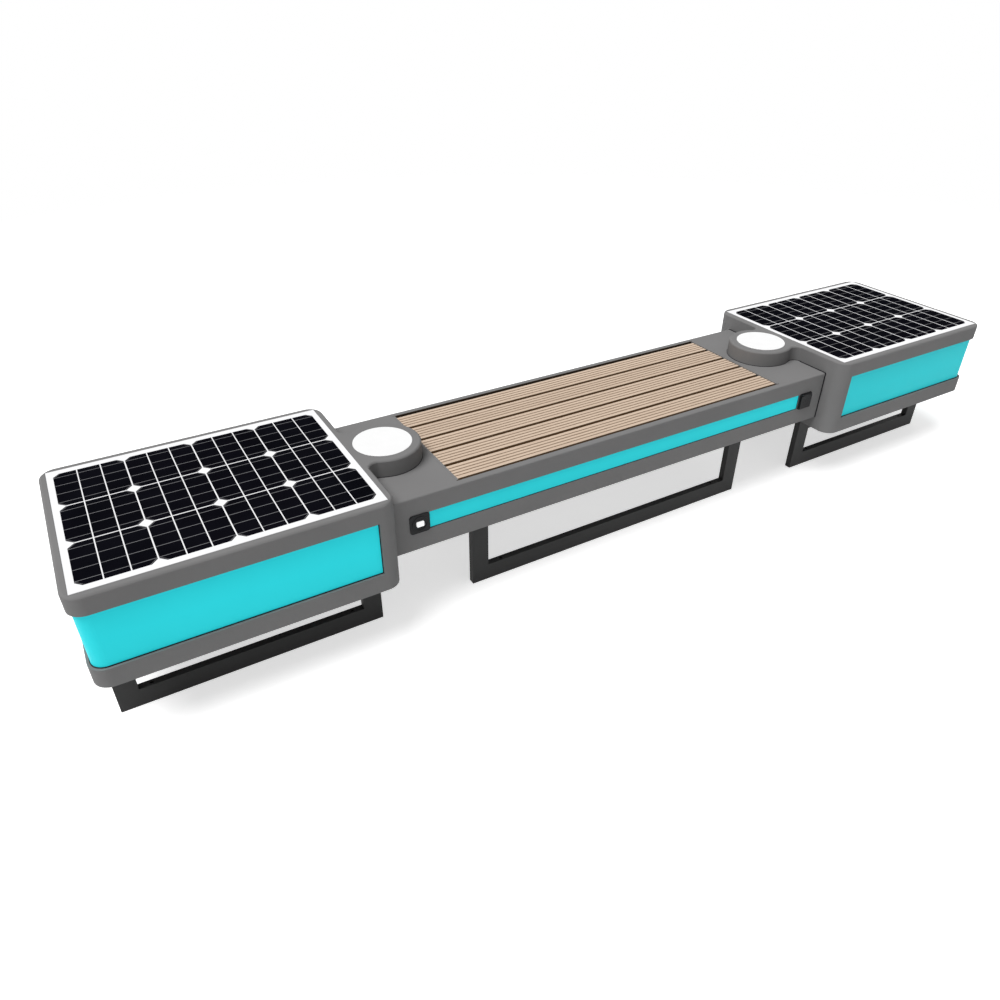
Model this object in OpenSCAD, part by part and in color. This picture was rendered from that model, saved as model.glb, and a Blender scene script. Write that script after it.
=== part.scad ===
// Solar charging bench: two lit end pods with solar panels and charging pads,
// joined by a slatted seat box and carried on flat-bar loop legs.
// Origin: on the ground under the middle of the bench. X runs along the bench,
// the front faces -Y and Z is up. All sizes are in millimetres.

/* [Bench] */
// Overall length of the bench
bench_l = 2900; // [2600:10:3300]
// Height of the pods' top above the ground
top_h = 440; // [430:2:470]
// Depth of the seat box's metal top below the pods' top
seat_drop = 48; // [44:1:56]
// Thickness of the folded sheet of the pods and the seat box
sheet = 3; // [2:0.5:4]

/* [Pods] */
// Length of each pod along the bench
pod_l = 700; // [680:5:760]
// Depth of each pod from front to back
pod_d = 550; // [535:5:600]
// Height of each pod, from its underside to its top
pod_h = 245; // [240:5:260]
// Radius of the pods' upright corners
pod_corner_r = 40; // [30:1:50]
// Radius of the rounded edge round the pods' top
pod_edge_r = 6; // [3:0.5:8]
// Height of the metal band above the lit window
rim_band = 48; // [44:1:55]
// Height of the metal band below the lit window
base_band = 50; // [40:1:60]
// Distance of the window's end from the pod's inner face
window_setback = 48; // [40:1:60]
// Depth of the lit window's face behind the bands
window_recess = 8; // [4:1:12]
// Thickness of the opal diffusers
diffuser_t = 4; // [3:0.5:5]
// Distance of the inner light wall behind the pod's face
light_wall_inset = 45; // [40:1:50]
// Thickness of the inner light wall
light_wall_t = 2; // [1.5:0.5:3]
// Corner radius of the inner light wall
light_wall_r = 10; // [6:1:20]
// Width of the ledges that carry the diffuser and the light wall
ledge_w = 50; // [49:1:56]
// Width of the bottom flange that the base plate is screwed to
flange_w = 15; // [12:1:20]

/* [Solar panel] */
// Width of the metal rim at the two ends of the panel
end_rim = 16; // [14:1:20]
// Width of the metal rim along the panel's front and back
side_rim = 17; // [15:1:20]
// Thickness of the solar laminate
panel_t = 5; // [4:0.5:6]
// Joint between the laminate and the pod's rim
panel_joint = 1; // [0.5:0.5:2]
// Distance between the middles of neighbouring cells
cell_pitch = 160; // [156:0.5:161]
// Least width of the white border round the cells
cell_border = 10; // [6:1:12]
// Gap between neighbouring cells
cell_gap = 3; // [2:0.5:4]
// Gap between the strips that a cell is cut into
cell_strip_gap = 2.5; // [1:0.5:3]
// Cut-off length at the corners of a cell
cell_corner = 14; // [8:1:18]
// Thickness of the cell layer
cell_t = 0.6; // [0.4:0.1:1]
// Depth of the aluminium frame below the rim
frame_h = 30; // [25:1:40]
// Width of the frame's shelf under the laminate
frame_shelf = 20; // [15:1:25]

/* [Charging lobes] */
// Radius of the charging lobe
lobe_r = 100; // [95:1:110]
// Distance of the lobe's middle from the pod's inner face
lobe_out = 79; // [70:1:85]
// Radius of the blend between the lobe and the pod
lobe_blend_r = 25; // [15:1:30]
// Radius of the round charging pad
pad_r = 76.5; // [70:0.5:80]
// Thickness of the charging pad
pad_t = 6; // [4:1:8]
// Outer radius of the charging coil
coil_r = 50; // [40:1:60]
// Radius of the hole in the coil's middle
coil_hole_r = 18; // [10:1:25]
// Thickness of the charging coil
coil_t = 5; // [3:1:8]

/* [Seat box] */
// Depth of the seat box from front to back
seat_d = 430; // [412:2:460]
// Height of the seat box
seat_t = 155; // [145:1:160]
// Radius of the seat box's long top edges
seat_edge_r = 4; // [2:0.5:6]
// Thickness of the rubber seal between the seat box and a pod
seal_t = 3; // [2:0.5:5]
// Depth of the seal behind the seat box's faces
seal_inset = 6; // [3:1:10]

/* [Slats] */
// Distance of the slats' ends from the pods' inner faces
slat_setback = 196.5; // [190:0.5:300]
// Width of the metal ledge in front of the slats' opening
seat_ledge = 17.5; // [16:0.5:30]
// Gap between neighbouring slats, and along the opening's front and back
slat_gap = 11.5; // [6:0.5:14]
// Thickness of a slat
slat_t = 22; // [18:1:26]
// Depth of the slats' tops below the seat box's metal top
slat_sink = 2; // [0:0.5:4]
// Width of one groove in a slat
groove_w = 4; // [2:0.5:5]
// Depth of one groove in a slat
groove_depth = 1.6; // [1:0.1:3]
// Gap between the slats' ends and the opening's ends
slat_end_gap = 6; // [3:0.5:8]
// Thickness of the slat tray's sheet
tray_t = 2; // [1.5:0.5:3]
// Height of the bearers under the slats
bearer_h = 8; // [6:1:12]
// Width of one bearer
bearer_w = 30; // [20:1:40]

/* [Light strips] */
// Height of the light strips along the seat box
strip_h = 50; // [40:1:60]
// Distance of the strips' middle below the seat box's metal top
strip_drop = 77.5; // [70:0.5:85]
// Overlap of the strip diffuser behind the seat box's face
strip_lap = 4; // [2:0.5:5]
// Depth of the light rails behind the seat box's face
rail_depth = 25; // [20:1:30]
// Thickness of the light rails
rail_t = 2; // [1.5:0.5:3]

/* [Front fittings] */
// Side of the square black plates
plate_w = 54; // [50:1:56]
// Corner radius of the plates
plate_r = 8; // [5:1:12]
// Thickness of the plates, all in front of the seat box's face
plate_t = 3; // [2:0.5:4]
// Distance of the plates' middles from the pods' inner faces
plate_setback = 75.5; // [60:0.5:150]
// Side of the square body behind a plate
plate_body_w = 34; // [33:1:36]
// Width of the push-button
button_w = 20; // [16:1:22]
// Height of the push-button
button_h = 14; // [12:1:16]
// Corner radius of the push-button
button_r = 3; // [2:0.5:5]
// Travel of the push-button
button_travel = 2; // [1:0.5:3]
// Length of the push-button
button_l = 18.5; // [16:0.5:20]
// Radius of the round collar round the push-button
collar_r = 21; // [20:0.5:24]
// Width of the socket insert
socket_w = 26; // [24:1:28]
// Height of the socket insert
socket_h = 22; // [20:1:24]
// Width of one charging slot
slot_w = 13.2; // [12.5:0.1:14]
// Height of one charging slot
slot_h = 5.8; // [5:0.1:6.5]
// Depth of one charging slot
slot_depth = 12; // [10:1:16]
// Width of the weather flap
flap_w = 46; // [40:1:48]
// Thickness of the weather flap
flap_t = 3; // [2.5:0.5:4]

/* [Service doors] */
// Length of the door's opening in the pod's base
door_open_l = 240; // [200:5:260]
// Depth of the door's opening in the pod's base
door_open_d = 140; // [110:5:150]
// Overlap of the door round its opening
door_lap = 10; // [8:1:12]
// Thickness of the door
door_t = 2.5; // [2:0.5:3]

/* [Legs] */
// Height of the leg bars' broad faces
bar_w = 50; // [40:1:60]
// Thickness of the leg bars
bar_t = 20; // [16:1:25]
// Distance of the loops' outer faces behind the seat box's faces
leg_inset = 65; // [40:1:75]
// Length of the two loops under the seat box
centre_leg_l = 990; // [800:10:1100]
// Length of the loops under the pods
pod_leg_l = 660; // [600:5:680]
// Radius of the anchor and bolt holes in the legs
bolt_hole_r = 4.5; // [4:0.5:5.5]
// Distance between the two bolts in the top bar of a pod's loop
pod_bolt_span = 400; // [300:10:440]
// Distance between the two bolts in the top bar of a loop under the seat box
centre_bolt_span = 700; // [500:10:740]
// Distance between the two anchor holes in the bottom bar of a pod's loop
pod_anchor_span = 500; // [460:10:540]
// Distance between the two anchor holes in the bottom bar of a loop under the seat box
centre_anchor_span = 800; // [760:10:860]

/* [Power gear] */
// Length of the battery
battery_l = 181; // [150:1:185]
// Depth of the battery
battery_d = 77; // [60:1:100]
// Height of the battery
battery_h = 167; // [120:1:175]
// Radius of the wiring conduit
conduit_r = 10; // [8:1:14]

/* [Hidden] */
$fn = 48;

// Colours as seen on the bench
shell_grey = [0.40, 0.40, 0.41];
lit_cyan = [0.16, 0.82, 0.87];
leg_black = [0.16, 0.16, 0.17];
plate_black = [0.06, 0.06, 0.07];
slat_wood = [0.80, 0.67, 0.55];
tray_brown = [0.20, 0.14, 0.10];
alu = [0.75, 0.76, 0.78];
cell_black = [0.03, 0.03, 0.05];
sheet_white = [0.96, 0.96, 0.97];
copper = [0.72, 0.45, 0.25];
battery_blue = [0.15, 0.20, 0.30];
led_yellow = [1, 0.95, 0.7];

// Overrun of every cut, and the clearances
over = 1;
fit_gap = 0.3;
run_gap = 0.05;

// Sides of the bench
left = -1;
right = 1;
front = -1;
back = 1;

// Pod places
pod_cx = bench_l / 2 - pod_l / 2;
pod_z = top_h - pod_h;
face_x = -pod_l / 2;
window_x = face_x + window_setback;
window_z0 = pod_z + base_band;
window_z1 = top_h - rim_band;
deck_z = top_h - sheet;
ledge_corner_r = 2;
seat_top = top_h - seat_drop;

// Lobe's blends into the pod, each cut a little past the line where it would just touch
lobe_x = face_x - lobe_out;
blend_x = face_x - lobe_blend_r;
blend_y = sqrt(pow(lobe_r + lobe_blend_r, 2) - pow(blend_x - lobe_x, 2));
blend_over = 1;
blend_cut_r = lobe_blend_r + blend_over;
lobe_h = seat_drop;

// Arc of the rounded top edges, flatter than a quarter circle
edge_arc_share = 1.33;
edge_arc_r = edge_arc_share * pod_edge_r;
edge_arc_in = (pod_edge_r + sqrt(2 * pow(edge_arc_r, 2) - pow(pod_edge_r, 2))) / 2;

// Charging pad's seat and the hole for its wires
pad_clear = 0.5;
pad_ledge_w = 6;
wire_hole_r = 12;

// Solar panel places
panel_l = pod_l - 2 * (end_rim + panel_joint);
panel_d = pod_d - 2 * (side_rim + panel_joint);
panel_z = top_h - panel_t;
frame_clear = 0.5;
frame_t = 3;
frame_z = deck_z - frame_h;
cell_groups = floor((panel_l - 2 * cell_border) / cell_pitch);
cell_rows = floor((panel_d - 2 * cell_border) / cell_pitch);
cell_strips = 3;
cell_w = cell_pitch - cell_gap;

// Seat box places
seat_z = seat_top - seat_t;
inner_x = bench_l / 2 - pod_l;
seat_l = 2 * (inner_x - seal_t);
strip_z = seat_top - strip_drop;
plate_cx = inner_x - plate_setback;
strip_l = 2 * plate_cx - plate_w;
rail_h = strip_h + 4 * strip_lap + 2 * rail_t;

// Slat places
slat_count = 5;
groove_count = 4;
slat_l = 2 * (inner_x - slat_setback);
tray_open_l = slat_l + 2 * slat_end_gap;
tray_open_d = seat_d - 2 * seat_ledge;
slat_pitch = (tray_open_d - slat_gap) / slat_count;
slat_w = slat_pitch - slat_gap;
tray_clear = 0.3;
tray_flange = 10;
slat_z = seat_top - slat_sink - slat_t;
tray_z = slat_z - bearer_h - tray_t;
bearer_count = 6;

// Pod-to-seat joint
joint_bolt_r = 4;
joint_bolt_inset = 65;
joint_bolt_y = seat_d / 2 - joint_bolt_inset;
joint_bolt_drop = 38;
joint_head_r = 6.5;
joint_head_h = 5;
conduit_y = 100;
conduit_t = 2;
conduit_reach = 25;

// Front fittings
plate_face = -seat_d / 2 - plate_t;
collar_w = 3;
collar_h = 1.5;
button_proud = 3.5;
button_clear = 0.3;
body_clear = 0.3;
button_back = plate_face - button_proud + button_l;
switch_y = button_back + button_travel + fit_gap;
switch_w = 30;
switch_t = 16;
socket_set = 1;
socket_clear = 0.15;
socket_l = 27;
slot_pitch = 11;
flap_knuckle_r = 2.5;
flap_pin_r = 1;
flap_axis_drop = 4;
flap_knuckle_l = 24;
flap_ear_l = 7;
flap_bottom = 3;
flap_rib_r = 2.2;
flap_rib_h = 0.6;
flap_rib_pitch = 9;
flap_axis_y = plate_face - flap_knuckle_r - fit_gap;
flap_axis_z = strip_z + plate_w / 2 - flap_axis_drop;
flap_edge_gap = 0.7;
flap_edge = flap_knuckle_r + flap_edge_gap;
flap_web_drop = 1.5;

// Service door, in the pod's own places
door_inset = 180;
door_cx = face_x + door_inset;
door_knuckle_r = 4;
door_pin_r = 2;
door_knuckle_l = 70;
door_ear_l = 30;
door_axis_out = 14;
door_axis_y = door_open_d / 2 + door_axis_out;
door_axis_z = pod_z - door_knuckle_r - fit_gap;
door_edge = door_knuckle_r + 2 * fit_gap;
door_grip_l = 60;
door_grip_h = 8;

// Power gear, in the pod's own places
battery_x = 60;
lid_share = 0.125;
terminal_r = 6;
terminal_h = 8;
terminal_inset = 18;
controller_l = 150;
driver_l = 165;
controller_h = 95;
controller_t = 38;
controller_drop = 42;
controller_z = frame_z - controller_drop - controller_h;
fin_t = 3;
fin_h = 10;
fin_count = 9;
junction_l = 110;
junction_d = 70;
junction_h = 22;
junction_y = 120;
gland_place_share = 0.25;
gland_r_share = 0.2;
led_t = 1.5;
led_h = 10;
led_chip = 5;
led_pitch = 60;

// Leg places and fasteners, and half the width of the seams between a loop's bars
leg_y = seat_d / 2 - leg_inset;
weld_seam = 0.05;
nut_r = 7.5;
nut_h = 6.5;
bolt_r = 4;
head_h = 5.3;
thread_share = 1.5;

// Rounded rectangle centred on the origin
module rounded(l, d, r) {
    square([l - 2 * r, d], center = true);
    square([l, d - 2 * r], center = true);
    for (x = [-1, 1], y = [-1, 1])
        translate([x * (l / 2 - r), y * (d / 2 - r)]) circle(r);
}

// Upright slab of the pod's outline, drawn in by an inset
module pod_slab(inset, r, z0, z1) {
    translate([0, 0, z0])
        linear_extrude(z1 - z0) rounded(pod_l - 2 * inset, pod_d - 2 * inset, r);
}

// Ring between two insets of the pod's outline
module pod_ring(inset, t, r, z0, z1) {
    difference() {
        pod_slab(inset, r, z0, z1);
        pod_slab(inset + t, r - t, z0 - over, z1 + over);
    }
}

// A block given by its lowest and highest corners
module block(a, b) {
    translate(a) cube(b - a);
}

// Puts a pod's piece at its end of the bench; its own +X points outwards
module at_pod(side) {
    translate([side * pod_cx, 0, 0]) mirror([side < 0 ? 1 : 0, 0, 0]) children();
}

// Cross-section that takes the corner off a top edge whose corner is at the origin
module edge_profile() {
    difference() {
        translate([-pod_edge_r, -pod_edge_r]) square([pod_edge_r + over, pod_edge_r + over]);
        translate([-edge_arc_in, -edge_arc_in]) circle(edge_arc_r);
    }
}

// Takes the corner off a straight top edge along Y, facing -X
module straight_edge(len) {
    rotate([90, 0, 180]) translate([0, 0, -len / 2]) linear_extrude(len) edge_profile();
}

// Rounded edge all along the pod's top
module pod_edge_cut() {
    side_d = pod_d - 2 * pod_corner_r;
    side_l = pod_l - 2 * pod_corner_r;
    for (q = [0, 1]) {
        rotate([0, 0, q * 180]) {
            translate([-pod_l / 2, 0, top_h]) straight_edge(side_d);
            translate([0, -pod_d / 2, top_h]) rotate([0, 0, 90]) straight_edge(side_l);
            for (x = [0, 1])
                translate([(0.5 - x) * side_l, side_d / 2, top_h]) rotate([0, 0, x * 90])
                    rotate_extrude(angle = 90) translate([pod_corner_r, 0]) edge_profile();
        }
    }
}

// Round drum of the charging lobe with its rounded top edge
module lobe_drum() {
    translate([lobe_x, 0, seat_top]) rotate_extrude() difference() {
        square([lobe_r, lobe_h]);
        translate([lobe_r, lobe_h]) edge_profile();
    }
}

// Trumpet-shaped cutter of one blend, flared by the rounded edge
module blend_cutter() {
    translate([blend_x, blend_y, seat_top]) rotate_extrude() {
        translate([0, -over]) square([blend_cut_r, lobe_h + 2 * over]);
        translate([blend_cut_r, lobe_h]) mirror([1, 0]) edge_profile();
    }
}

// Web between the drum and the pod, hollowed by the two blends
module lobe_web() {
    x1 = face_x + 2 * pod_edge_r;
    difference() {
        translate([0, 0, seat_top]) linear_extrude(lobe_h)
            polygon([[lobe_x, 0], [blend_x, blend_y], [x1, blend_y], [x1, -blend_y], [blend_x, -blend_y]]);
        blend_cutter();
        mirror([0, 1, 0]) blend_cutter();
    }
}

// Holes for the bolts and the conduit where a pod meets the seat box
module joint_holes(x0, len) {
    for (y = [-1, 1], z = [seat_top - joint_bolt_drop, seat_z + joint_bolt_drop])
        translate([x0, y * joint_bolt_y, z]) rotate([0, 90, 0]) cylinder(len, r = bolt_hole_r);
    translate([x0, conduit_y, strip_z]) rotate([0, 90, 0])
        cylinder(len, r = conduit_r + fit_gap);
}

// Folded pod housing with its bands, ledges and charging lobe
module pod_shell() {
    inner_r = pod_corner_r - sheet;
    return_w = window_recess + diffuser_t + sheet;
    color(shell_grey) {
        difference() {
            union() {
                difference() {
                    pod_slab(0, pod_corner_r, pod_z, top_h);
                    pod_edge_cut();
                }
                lobe_drum();
                lobe_web();
            }
            pod_slab(ledge_w, ledge_corner_r, pod_z - over, deck_z);
            pod_slab(sheet, inner_r, pod_z - over, pod_z + sheet);
            pod_slab(sheet + flange_w, inner_r - flange_w, pod_z, pod_z + 3 * sheet);
            pod_slab(sheet, inner_r, pod_z + 2 * sheet, window_z0 - sheet);
            pod_slab(sheet, inner_r, window_z0, window_z1);
            pod_slab(sheet, inner_r, window_z1 + sheet, deck_z);
            block([window_x, -pod_d, window_z0], [pod_l, pod_d, window_z1]);
            block([-panel_l / 2 - panel_joint, -panel_d / 2 - panel_joint, deck_z - over],
                [panel_l / 2 + panel_joint, panel_d / 2 + panel_joint, top_h + over]);
            lobe_hollow();
            joint_holes(face_x - over, sheet + 2 * over);
            translate([face_x - over, 0, seat_top + lobe_h / 2])
                rotate([0, 90, 0]) cylinder(sheet + 2 * over, r = wire_hole_r);
        }
        for (y = [-1, 1]) {
            y0 = y * (pod_d / 2 - sheet / 2);
            y1 = y * (pod_d / 2 - return_w);
            block([window_x - sheet, min(y0, y1), window_z0], [window_x, max(y0, y1), window_z1]);
        }
    }
}

// Hollow of the lobe with the stepped seat of the pad
module lobe_hollow() {
    intersection() {
        translate([lobe_x, 0, seat_top - over])
            cylinder(deck_z - pad_t - seat_top + over, r = lobe_r - sheet);
        block([lobe_x - lobe_r, -lobe_r, seat_top - over], [face_x, lobe_r, top_h]);
    }
    translate([lobe_x, 0, top_h - pad_t]) cylinder(pad_t + over, r = pad_r + pad_clear);
    translate([lobe_x, 0, seat_top]) cylinder(lobe_h, r = pad_r - pad_ledge_w);
}

// Hinge ear with its bore, hung below a plate at z1
module hinge_ear(x, len, ear_r, bore_r, web_y0, web_y1, web_z0, web_z1) {
    difference() {
        union() {
            translate([x - len / 2, 0, 0]) rotate([0, 90, 0]) cylinder(len, r = ear_r);
            block([x - len / 2, web_y0, web_z0], [x + len / 2, web_y1, web_z1]);
        }
        translate([x - len / 2 - over, 0, 0]) rotate([0, 90, 0]) cylinder(len + 2 * over, r = bore_r);
    }
}

// Base plate of a pod with the door's opening and two hinge ears
module pod_base() {
    inset = sheet + frame_clear;
    ear_x = door_knuckle_l / 2 + fit_gap + door_ear_l / 2;
    color(shell_grey) {
        difference() {
            pod_slab(inset, pod_corner_r - inset, pod_z, pod_z + sheet);
            block([door_cx - door_open_l / 2, -door_open_d / 2, pod_z - over],
                [door_cx + door_open_l / 2, door_open_d / 2, pod_z + sheet + over]);
            for (x = [-1, 1], y = [-1, 1])
                translate([x * pod_bolt_span / 2, y * (leg_y - bar_t / 2), pod_z - over])
                    cylinder(sheet + 2 * over, r = bolt_hole_r);
        }
        for (x = [-1, 1]) translate([door_cx, door_axis_y, door_axis_z])
            hinge_ear(x * ear_x, door_ear_l, door_knuckle_r, door_pin_r + run_gap,
                -door_knuckle_r, door_knuckle_r, 0, pod_z - door_axis_z);
    }
}

// Hinged door under a pod, with its knuckle and grip
module service_door() {
    door_z1 = pod_z - fit_gap;
    door_z0 = door_z1 - door_t;
    x0 = door_cx - door_open_l / 2 - door_lap;
    x1 = door_cx + door_open_l / 2 + door_lap;
    y0 = -door_open_d / 2 - door_lap;
    color(shell_grey) {
        block([x0, y0, door_z0], [x1, door_axis_y - door_edge, door_z1]);
        block([door_cx - door_grip_l / 2, y0, door_z0 - door_grip_h],
            [door_cx + door_grip_l / 2, y0 + door_t, door_z0]);
        translate([door_cx, door_axis_y, door_axis_z])
            hinge_ear(0, door_knuckle_l, door_knuckle_r, door_pin_r + run_gap,
                -door_edge - door_knuckle_r, -door_pin_r - door_t / 2, door_z0 - door_axis_z,
                door_z1 - door_axis_z);
    }
}

// Pin of the door's hinge
module door_pin() {
    pin_l = door_knuckle_l + 2 * (fit_gap + door_ear_l);
    color(alu) translate([door_cx - pin_l / 2, door_axis_y, door_axis_z])
        rotate([0, 90, 0]) cylinder(pin_l, r = door_pin_r);
}

// Opal diffuser that wraps round three sides of a pod
module pod_diffuser() {
    color(lit_cyan) intersection() {
        pod_ring(window_recess, diffuser_t, pod_corner_r - window_recess, window_z0, window_z1);
        block([window_x + fit_gap, -pod_d, pod_z], [pod_l, pod_d, top_h]);
    }
}

// Inner wall that carries the light tape and closes the battery bay
module light_wall() {
    color(sheet_white) intersection() {
        pod_ring(light_wall_inset, light_wall_t, light_wall_r, window_z0, window_z1);
        block([window_x, -pod_d, pod_z], [pod_l, pod_d, top_h]);
    }
}

// Light tape with its chips, stuck to the inner wall
module pod_leds() {
    mid = (window_z0 + window_z1) / 2;
    chips_x = floor((pod_l - light_wall_inset - window_setback - 2 * light_wall_r) / led_pitch);
    y0 = pod_d / 2 - light_wall_inset + led_t / 2;
    color(led_yellow) {
        intersection() {
            pod_ring(light_wall_inset - led_t, led_t, light_wall_r + led_t, mid - led_h / 2,
                mid + led_h / 2);
            block([window_x, -pod_d, pod_z], [pod_l, pod_d, top_h]);
        }
        for (i = [0 : chips_x - 1], side = [0, 1]) mirror([0, side, 0])
            translate([window_x + led_pitch * (i + 0.5) - led_chip / 2, y0, mid - led_chip / 2])
                cube([led_chip, led_t, led_chip]);
    }
}

// Frame that carries the laminate under the pod's rim
module panel_frame() {
    r = pod_corner_r - sheet - frame_clear;
    inset = sheet + frame_clear;
    open_l = panel_l - 2 * frame_shelf;
    open_d = panel_d - 2 * frame_shelf;
    rest_l = panel_l + 2 * panel_joint;
    rest_d = panel_d + 2 * panel_joint;
    color(alu) difference() {
        pod_slab(inset, r, frame_z, deck_z);
        pod_slab(inset + frame_t, r - frame_t, frame_z - over, panel_z - frame_t);
        block([-open_l / 2, -open_d / 2, frame_z], [open_l / 2, open_d / 2, top_h]);
        block([-rest_l / 2, -rest_d / 2, panel_z], [rest_l / 2, rest_d / 2, top_h]);
    }
}

// One cell with its cut corners, split into strips
module cell_plan() {
    h = cell_w / 2;
    c = h - cell_corner;
    strip_pitch = cell_w / cell_strips;
    difference() {
        polygon([[-c, -h], [c, -h], [h, -c], [h, c], [c, h], [-c, h], [-h, c], [-h, -c]]);
        for (i = [1 : cell_strips - 1])
            translate([i * strip_pitch - h - cell_strip_gap / 2, -h - over])
                square([cell_strip_gap, cell_w + 2 * over]);
    }
}

// All cells of one panel, standing on z
module cell_field(z, t) {
    for (i = [0 : cell_groups - 1], j = [0 : cell_rows - 1])
        translate([(i - cell_groups / 2 + 0.5) * cell_pitch, (j - cell_rows / 2 + 0.5) * cell_pitch, z])
            linear_extrude(t) cell_plan();
}

// White laminate with shallow pockets for the cells
module solar_laminate() {
    color(sheet_white) difference() {
        block([-panel_l / 2, -panel_d / 2, panel_z], [panel_l / 2, panel_d / 2, top_h]);
        cell_field(top_h - cell_t, cell_t + over);
    }
}

// The strips of the solar cells
module solar_cells() {
    color(cell_black) cell_field(top_h - cell_t, cell_t);
}

// Junction box glued under the laminate
module junction_box() {
    color(plate_black) difference() {
        block([-junction_l / 2, junction_y - junction_d / 2, panel_z - junction_h],
            [junction_l / 2, junction_y + junction_d / 2, panel_z]);
        for (x = [-1, 1])
            translate([x * gland_place_share * junction_l, junction_y - junction_d / 2 - over,
                panel_z - junction_h / 2])
                rotate([-90, 0, 0]) cylinder(gland_place_share * junction_d, r = gland_r_share * junction_h);
    }
}

// Sealed battery with its two terminals
module battery() {
    z0 = pod_z + sheet;
    lid = lid_share * battery_h;
    color(battery_blue) {
        block([battery_x, -battery_d / 2, z0],
            [battery_x + battery_l, battery_d / 2, z0 + battery_h - lid]);
        block([battery_x + sheet, sheet - battery_d / 2, z0 + battery_h - lid],
            [battery_x + battery_l - sheet, battery_d / 2 - sheet, z0 + battery_h]);
        for (x = [terminal_inset, battery_l - terminal_inset])
            translate([battery_x + x, terminal_inset - battery_d / 2, z0 + battery_h])
                cylinder(terminal_h, r = terminal_r);
    }
}

// Electronics box with cooling fins, screwed to the pod's inner wall
module fin_box(len) {
    x0 = face_x + sheet;
    x1 = x0 + controller_t;
    color(leg_black) {
        block([x0, -len / 2, controller_z], [x1, len / 2, controller_z + controller_h]);
        for (i = [0 : fin_count - 1]) {
            y = -len / 2 + (i + 0.5) * len / fin_count;
            block([x1, y - fin_t / 2, controller_z + fin_t],
                [x1 + fin_h, y + fin_t / 2, controller_z + controller_h - fin_t]);
        }
    }
}

// Round charging pad, flush with the lobe's top
module charging_pad() {
    color(sheet_white) translate([lobe_x, 0, top_h - pad_t]) cylinder(pad_t, r = pad_r);
}

// Flat charging coil under the pad
module charging_coil() {
    color(copper) translate([lobe_x, 0, top_h - pad_t - coil_t]) difference() {
        cylinder(coil_t, r = coil_r);
        translate([0, 0, -over]) cylinder(coil_t + 2 * over, r = coil_hole_r);
    }
}

// Cross-section of the seat box: folded sheet, open below, with inward lips
module seat_profile() {
    r = seat_edge_r;
    inner_d = seat_d - 2 * sheet;
    difference() {
        union() {
            translate([-seat_d / 2, seat_z]) square([seat_d, seat_t - r]);
            translate([r - seat_d / 2, seat_z]) square([seat_d - 2 * r, seat_t]);
            for (y = [-1, 1]) translate([y * (seat_d / 2 - r), seat_top - r]) circle(r);
        }
        translate([sheet - seat_d / 2, seat_z + 2 * sheet]) square([inner_d, seat_t - 3 * sheet]);
        translate([sheet - seat_d / 2, seat_z - over]) square([inner_d, sheet + over]);
        translate([sheet + flange_w - seat_d / 2, seat_z]) square([inner_d - 2 * flange_w, 3 * sheet]);
    }
}

// Seat box with its end plates, slat opening, light slots and fitting holes
module seat_shell() {
    hole_w = plate_body_w + 2 * body_clear;
    color(shell_grey) {
        difference() {
            rotate([90, 0, 90]) translate([0, 0, -seat_l / 2]) linear_extrude(seat_l) seat_profile();
            block([-tray_open_l / 2, -tray_open_d / 2, seat_top - 2 * sheet],
                [tray_open_l / 2, tray_open_d / 2, seat_top + over]);
            block([-strip_l / 2, -seat_d, strip_z - strip_h / 2],
                [strip_l / 2, seat_d, strip_z + strip_h / 2]);
            for (x = [-1, 1]) block(
                [x * plate_cx - hole_w / 2, -seat_d / 2 - over, strip_z - hole_w / 2],
                [x * plate_cx + hole_w / 2, sheet + over - seat_d / 2, strip_z + hole_w / 2]);
        }
        for (side = [left, right]) difference() {
            x0 = min(side * seat_l / 2, side * (seat_l / 2 - sheet));
            block([x0, sheet / 2 - seat_d / 2, seat_z + sheet],
                [x0 + sheet, seat_d / 2 - sheet / 2, seat_top - sheet / 2]);
            joint_holes(x0 - over, sheet + 2 * over);
        }
    }
}

// Bottom plate of the seat box
module seat_base() {
    w = seat_d - 2 * sheet - 2 * frame_clear;
    color(shell_grey) difference() {
        block([-seat_l / 2, -w / 2, seat_z], [seat_l / 2, w / 2, seat_z + sheet]);
        for (x = [-1, 1], y = [-1, 1])
            translate([x * centre_bolt_span / 2, y * (leg_y - bar_t / 2), seat_z - over])
                cylinder(sheet + 2 * over, r = bolt_hole_r);
    }
}

// Sunk tray under the slats, hung from a flange below the seat box's top
module slat_tray() {
    l = tray_open_l - 2 * tray_clear;
    d = tray_open_d - 2 * tray_clear;
    f = tray_flange;
    z1 = seat_top - sheet;
    color(tray_brown) difference() {
        union() {
            block([-l / 2, -d / 2, tray_z], [l / 2, d / 2, seat_top]);
            block([-l / 2 - f, -d / 2 - f, z1 - tray_t], [l / 2 + f, d / 2 + f, z1]);
        }
        block([tray_t - l / 2, tray_t - d / 2, tray_z + tray_t],
            [l / 2 - tray_t, d / 2 - tray_t, seat_top + over]);
    }
}

// Bars across the tray that carry the slats
module slat_bearers() {
    d = tray_open_d - 2 * (tray_clear + tray_t + fit_gap);
    span = slat_l - 2 * bearer_w;
    color(leg_black) for (i = [0 : bearer_count - 1]) {
        x = -span / 2 + i * span / (bearer_count - 1);
        block([x - bearer_w / 2, -d / 2, tray_z + tray_t], [x + bearer_w / 2, d / 2, slat_z]);
    }
}

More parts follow.
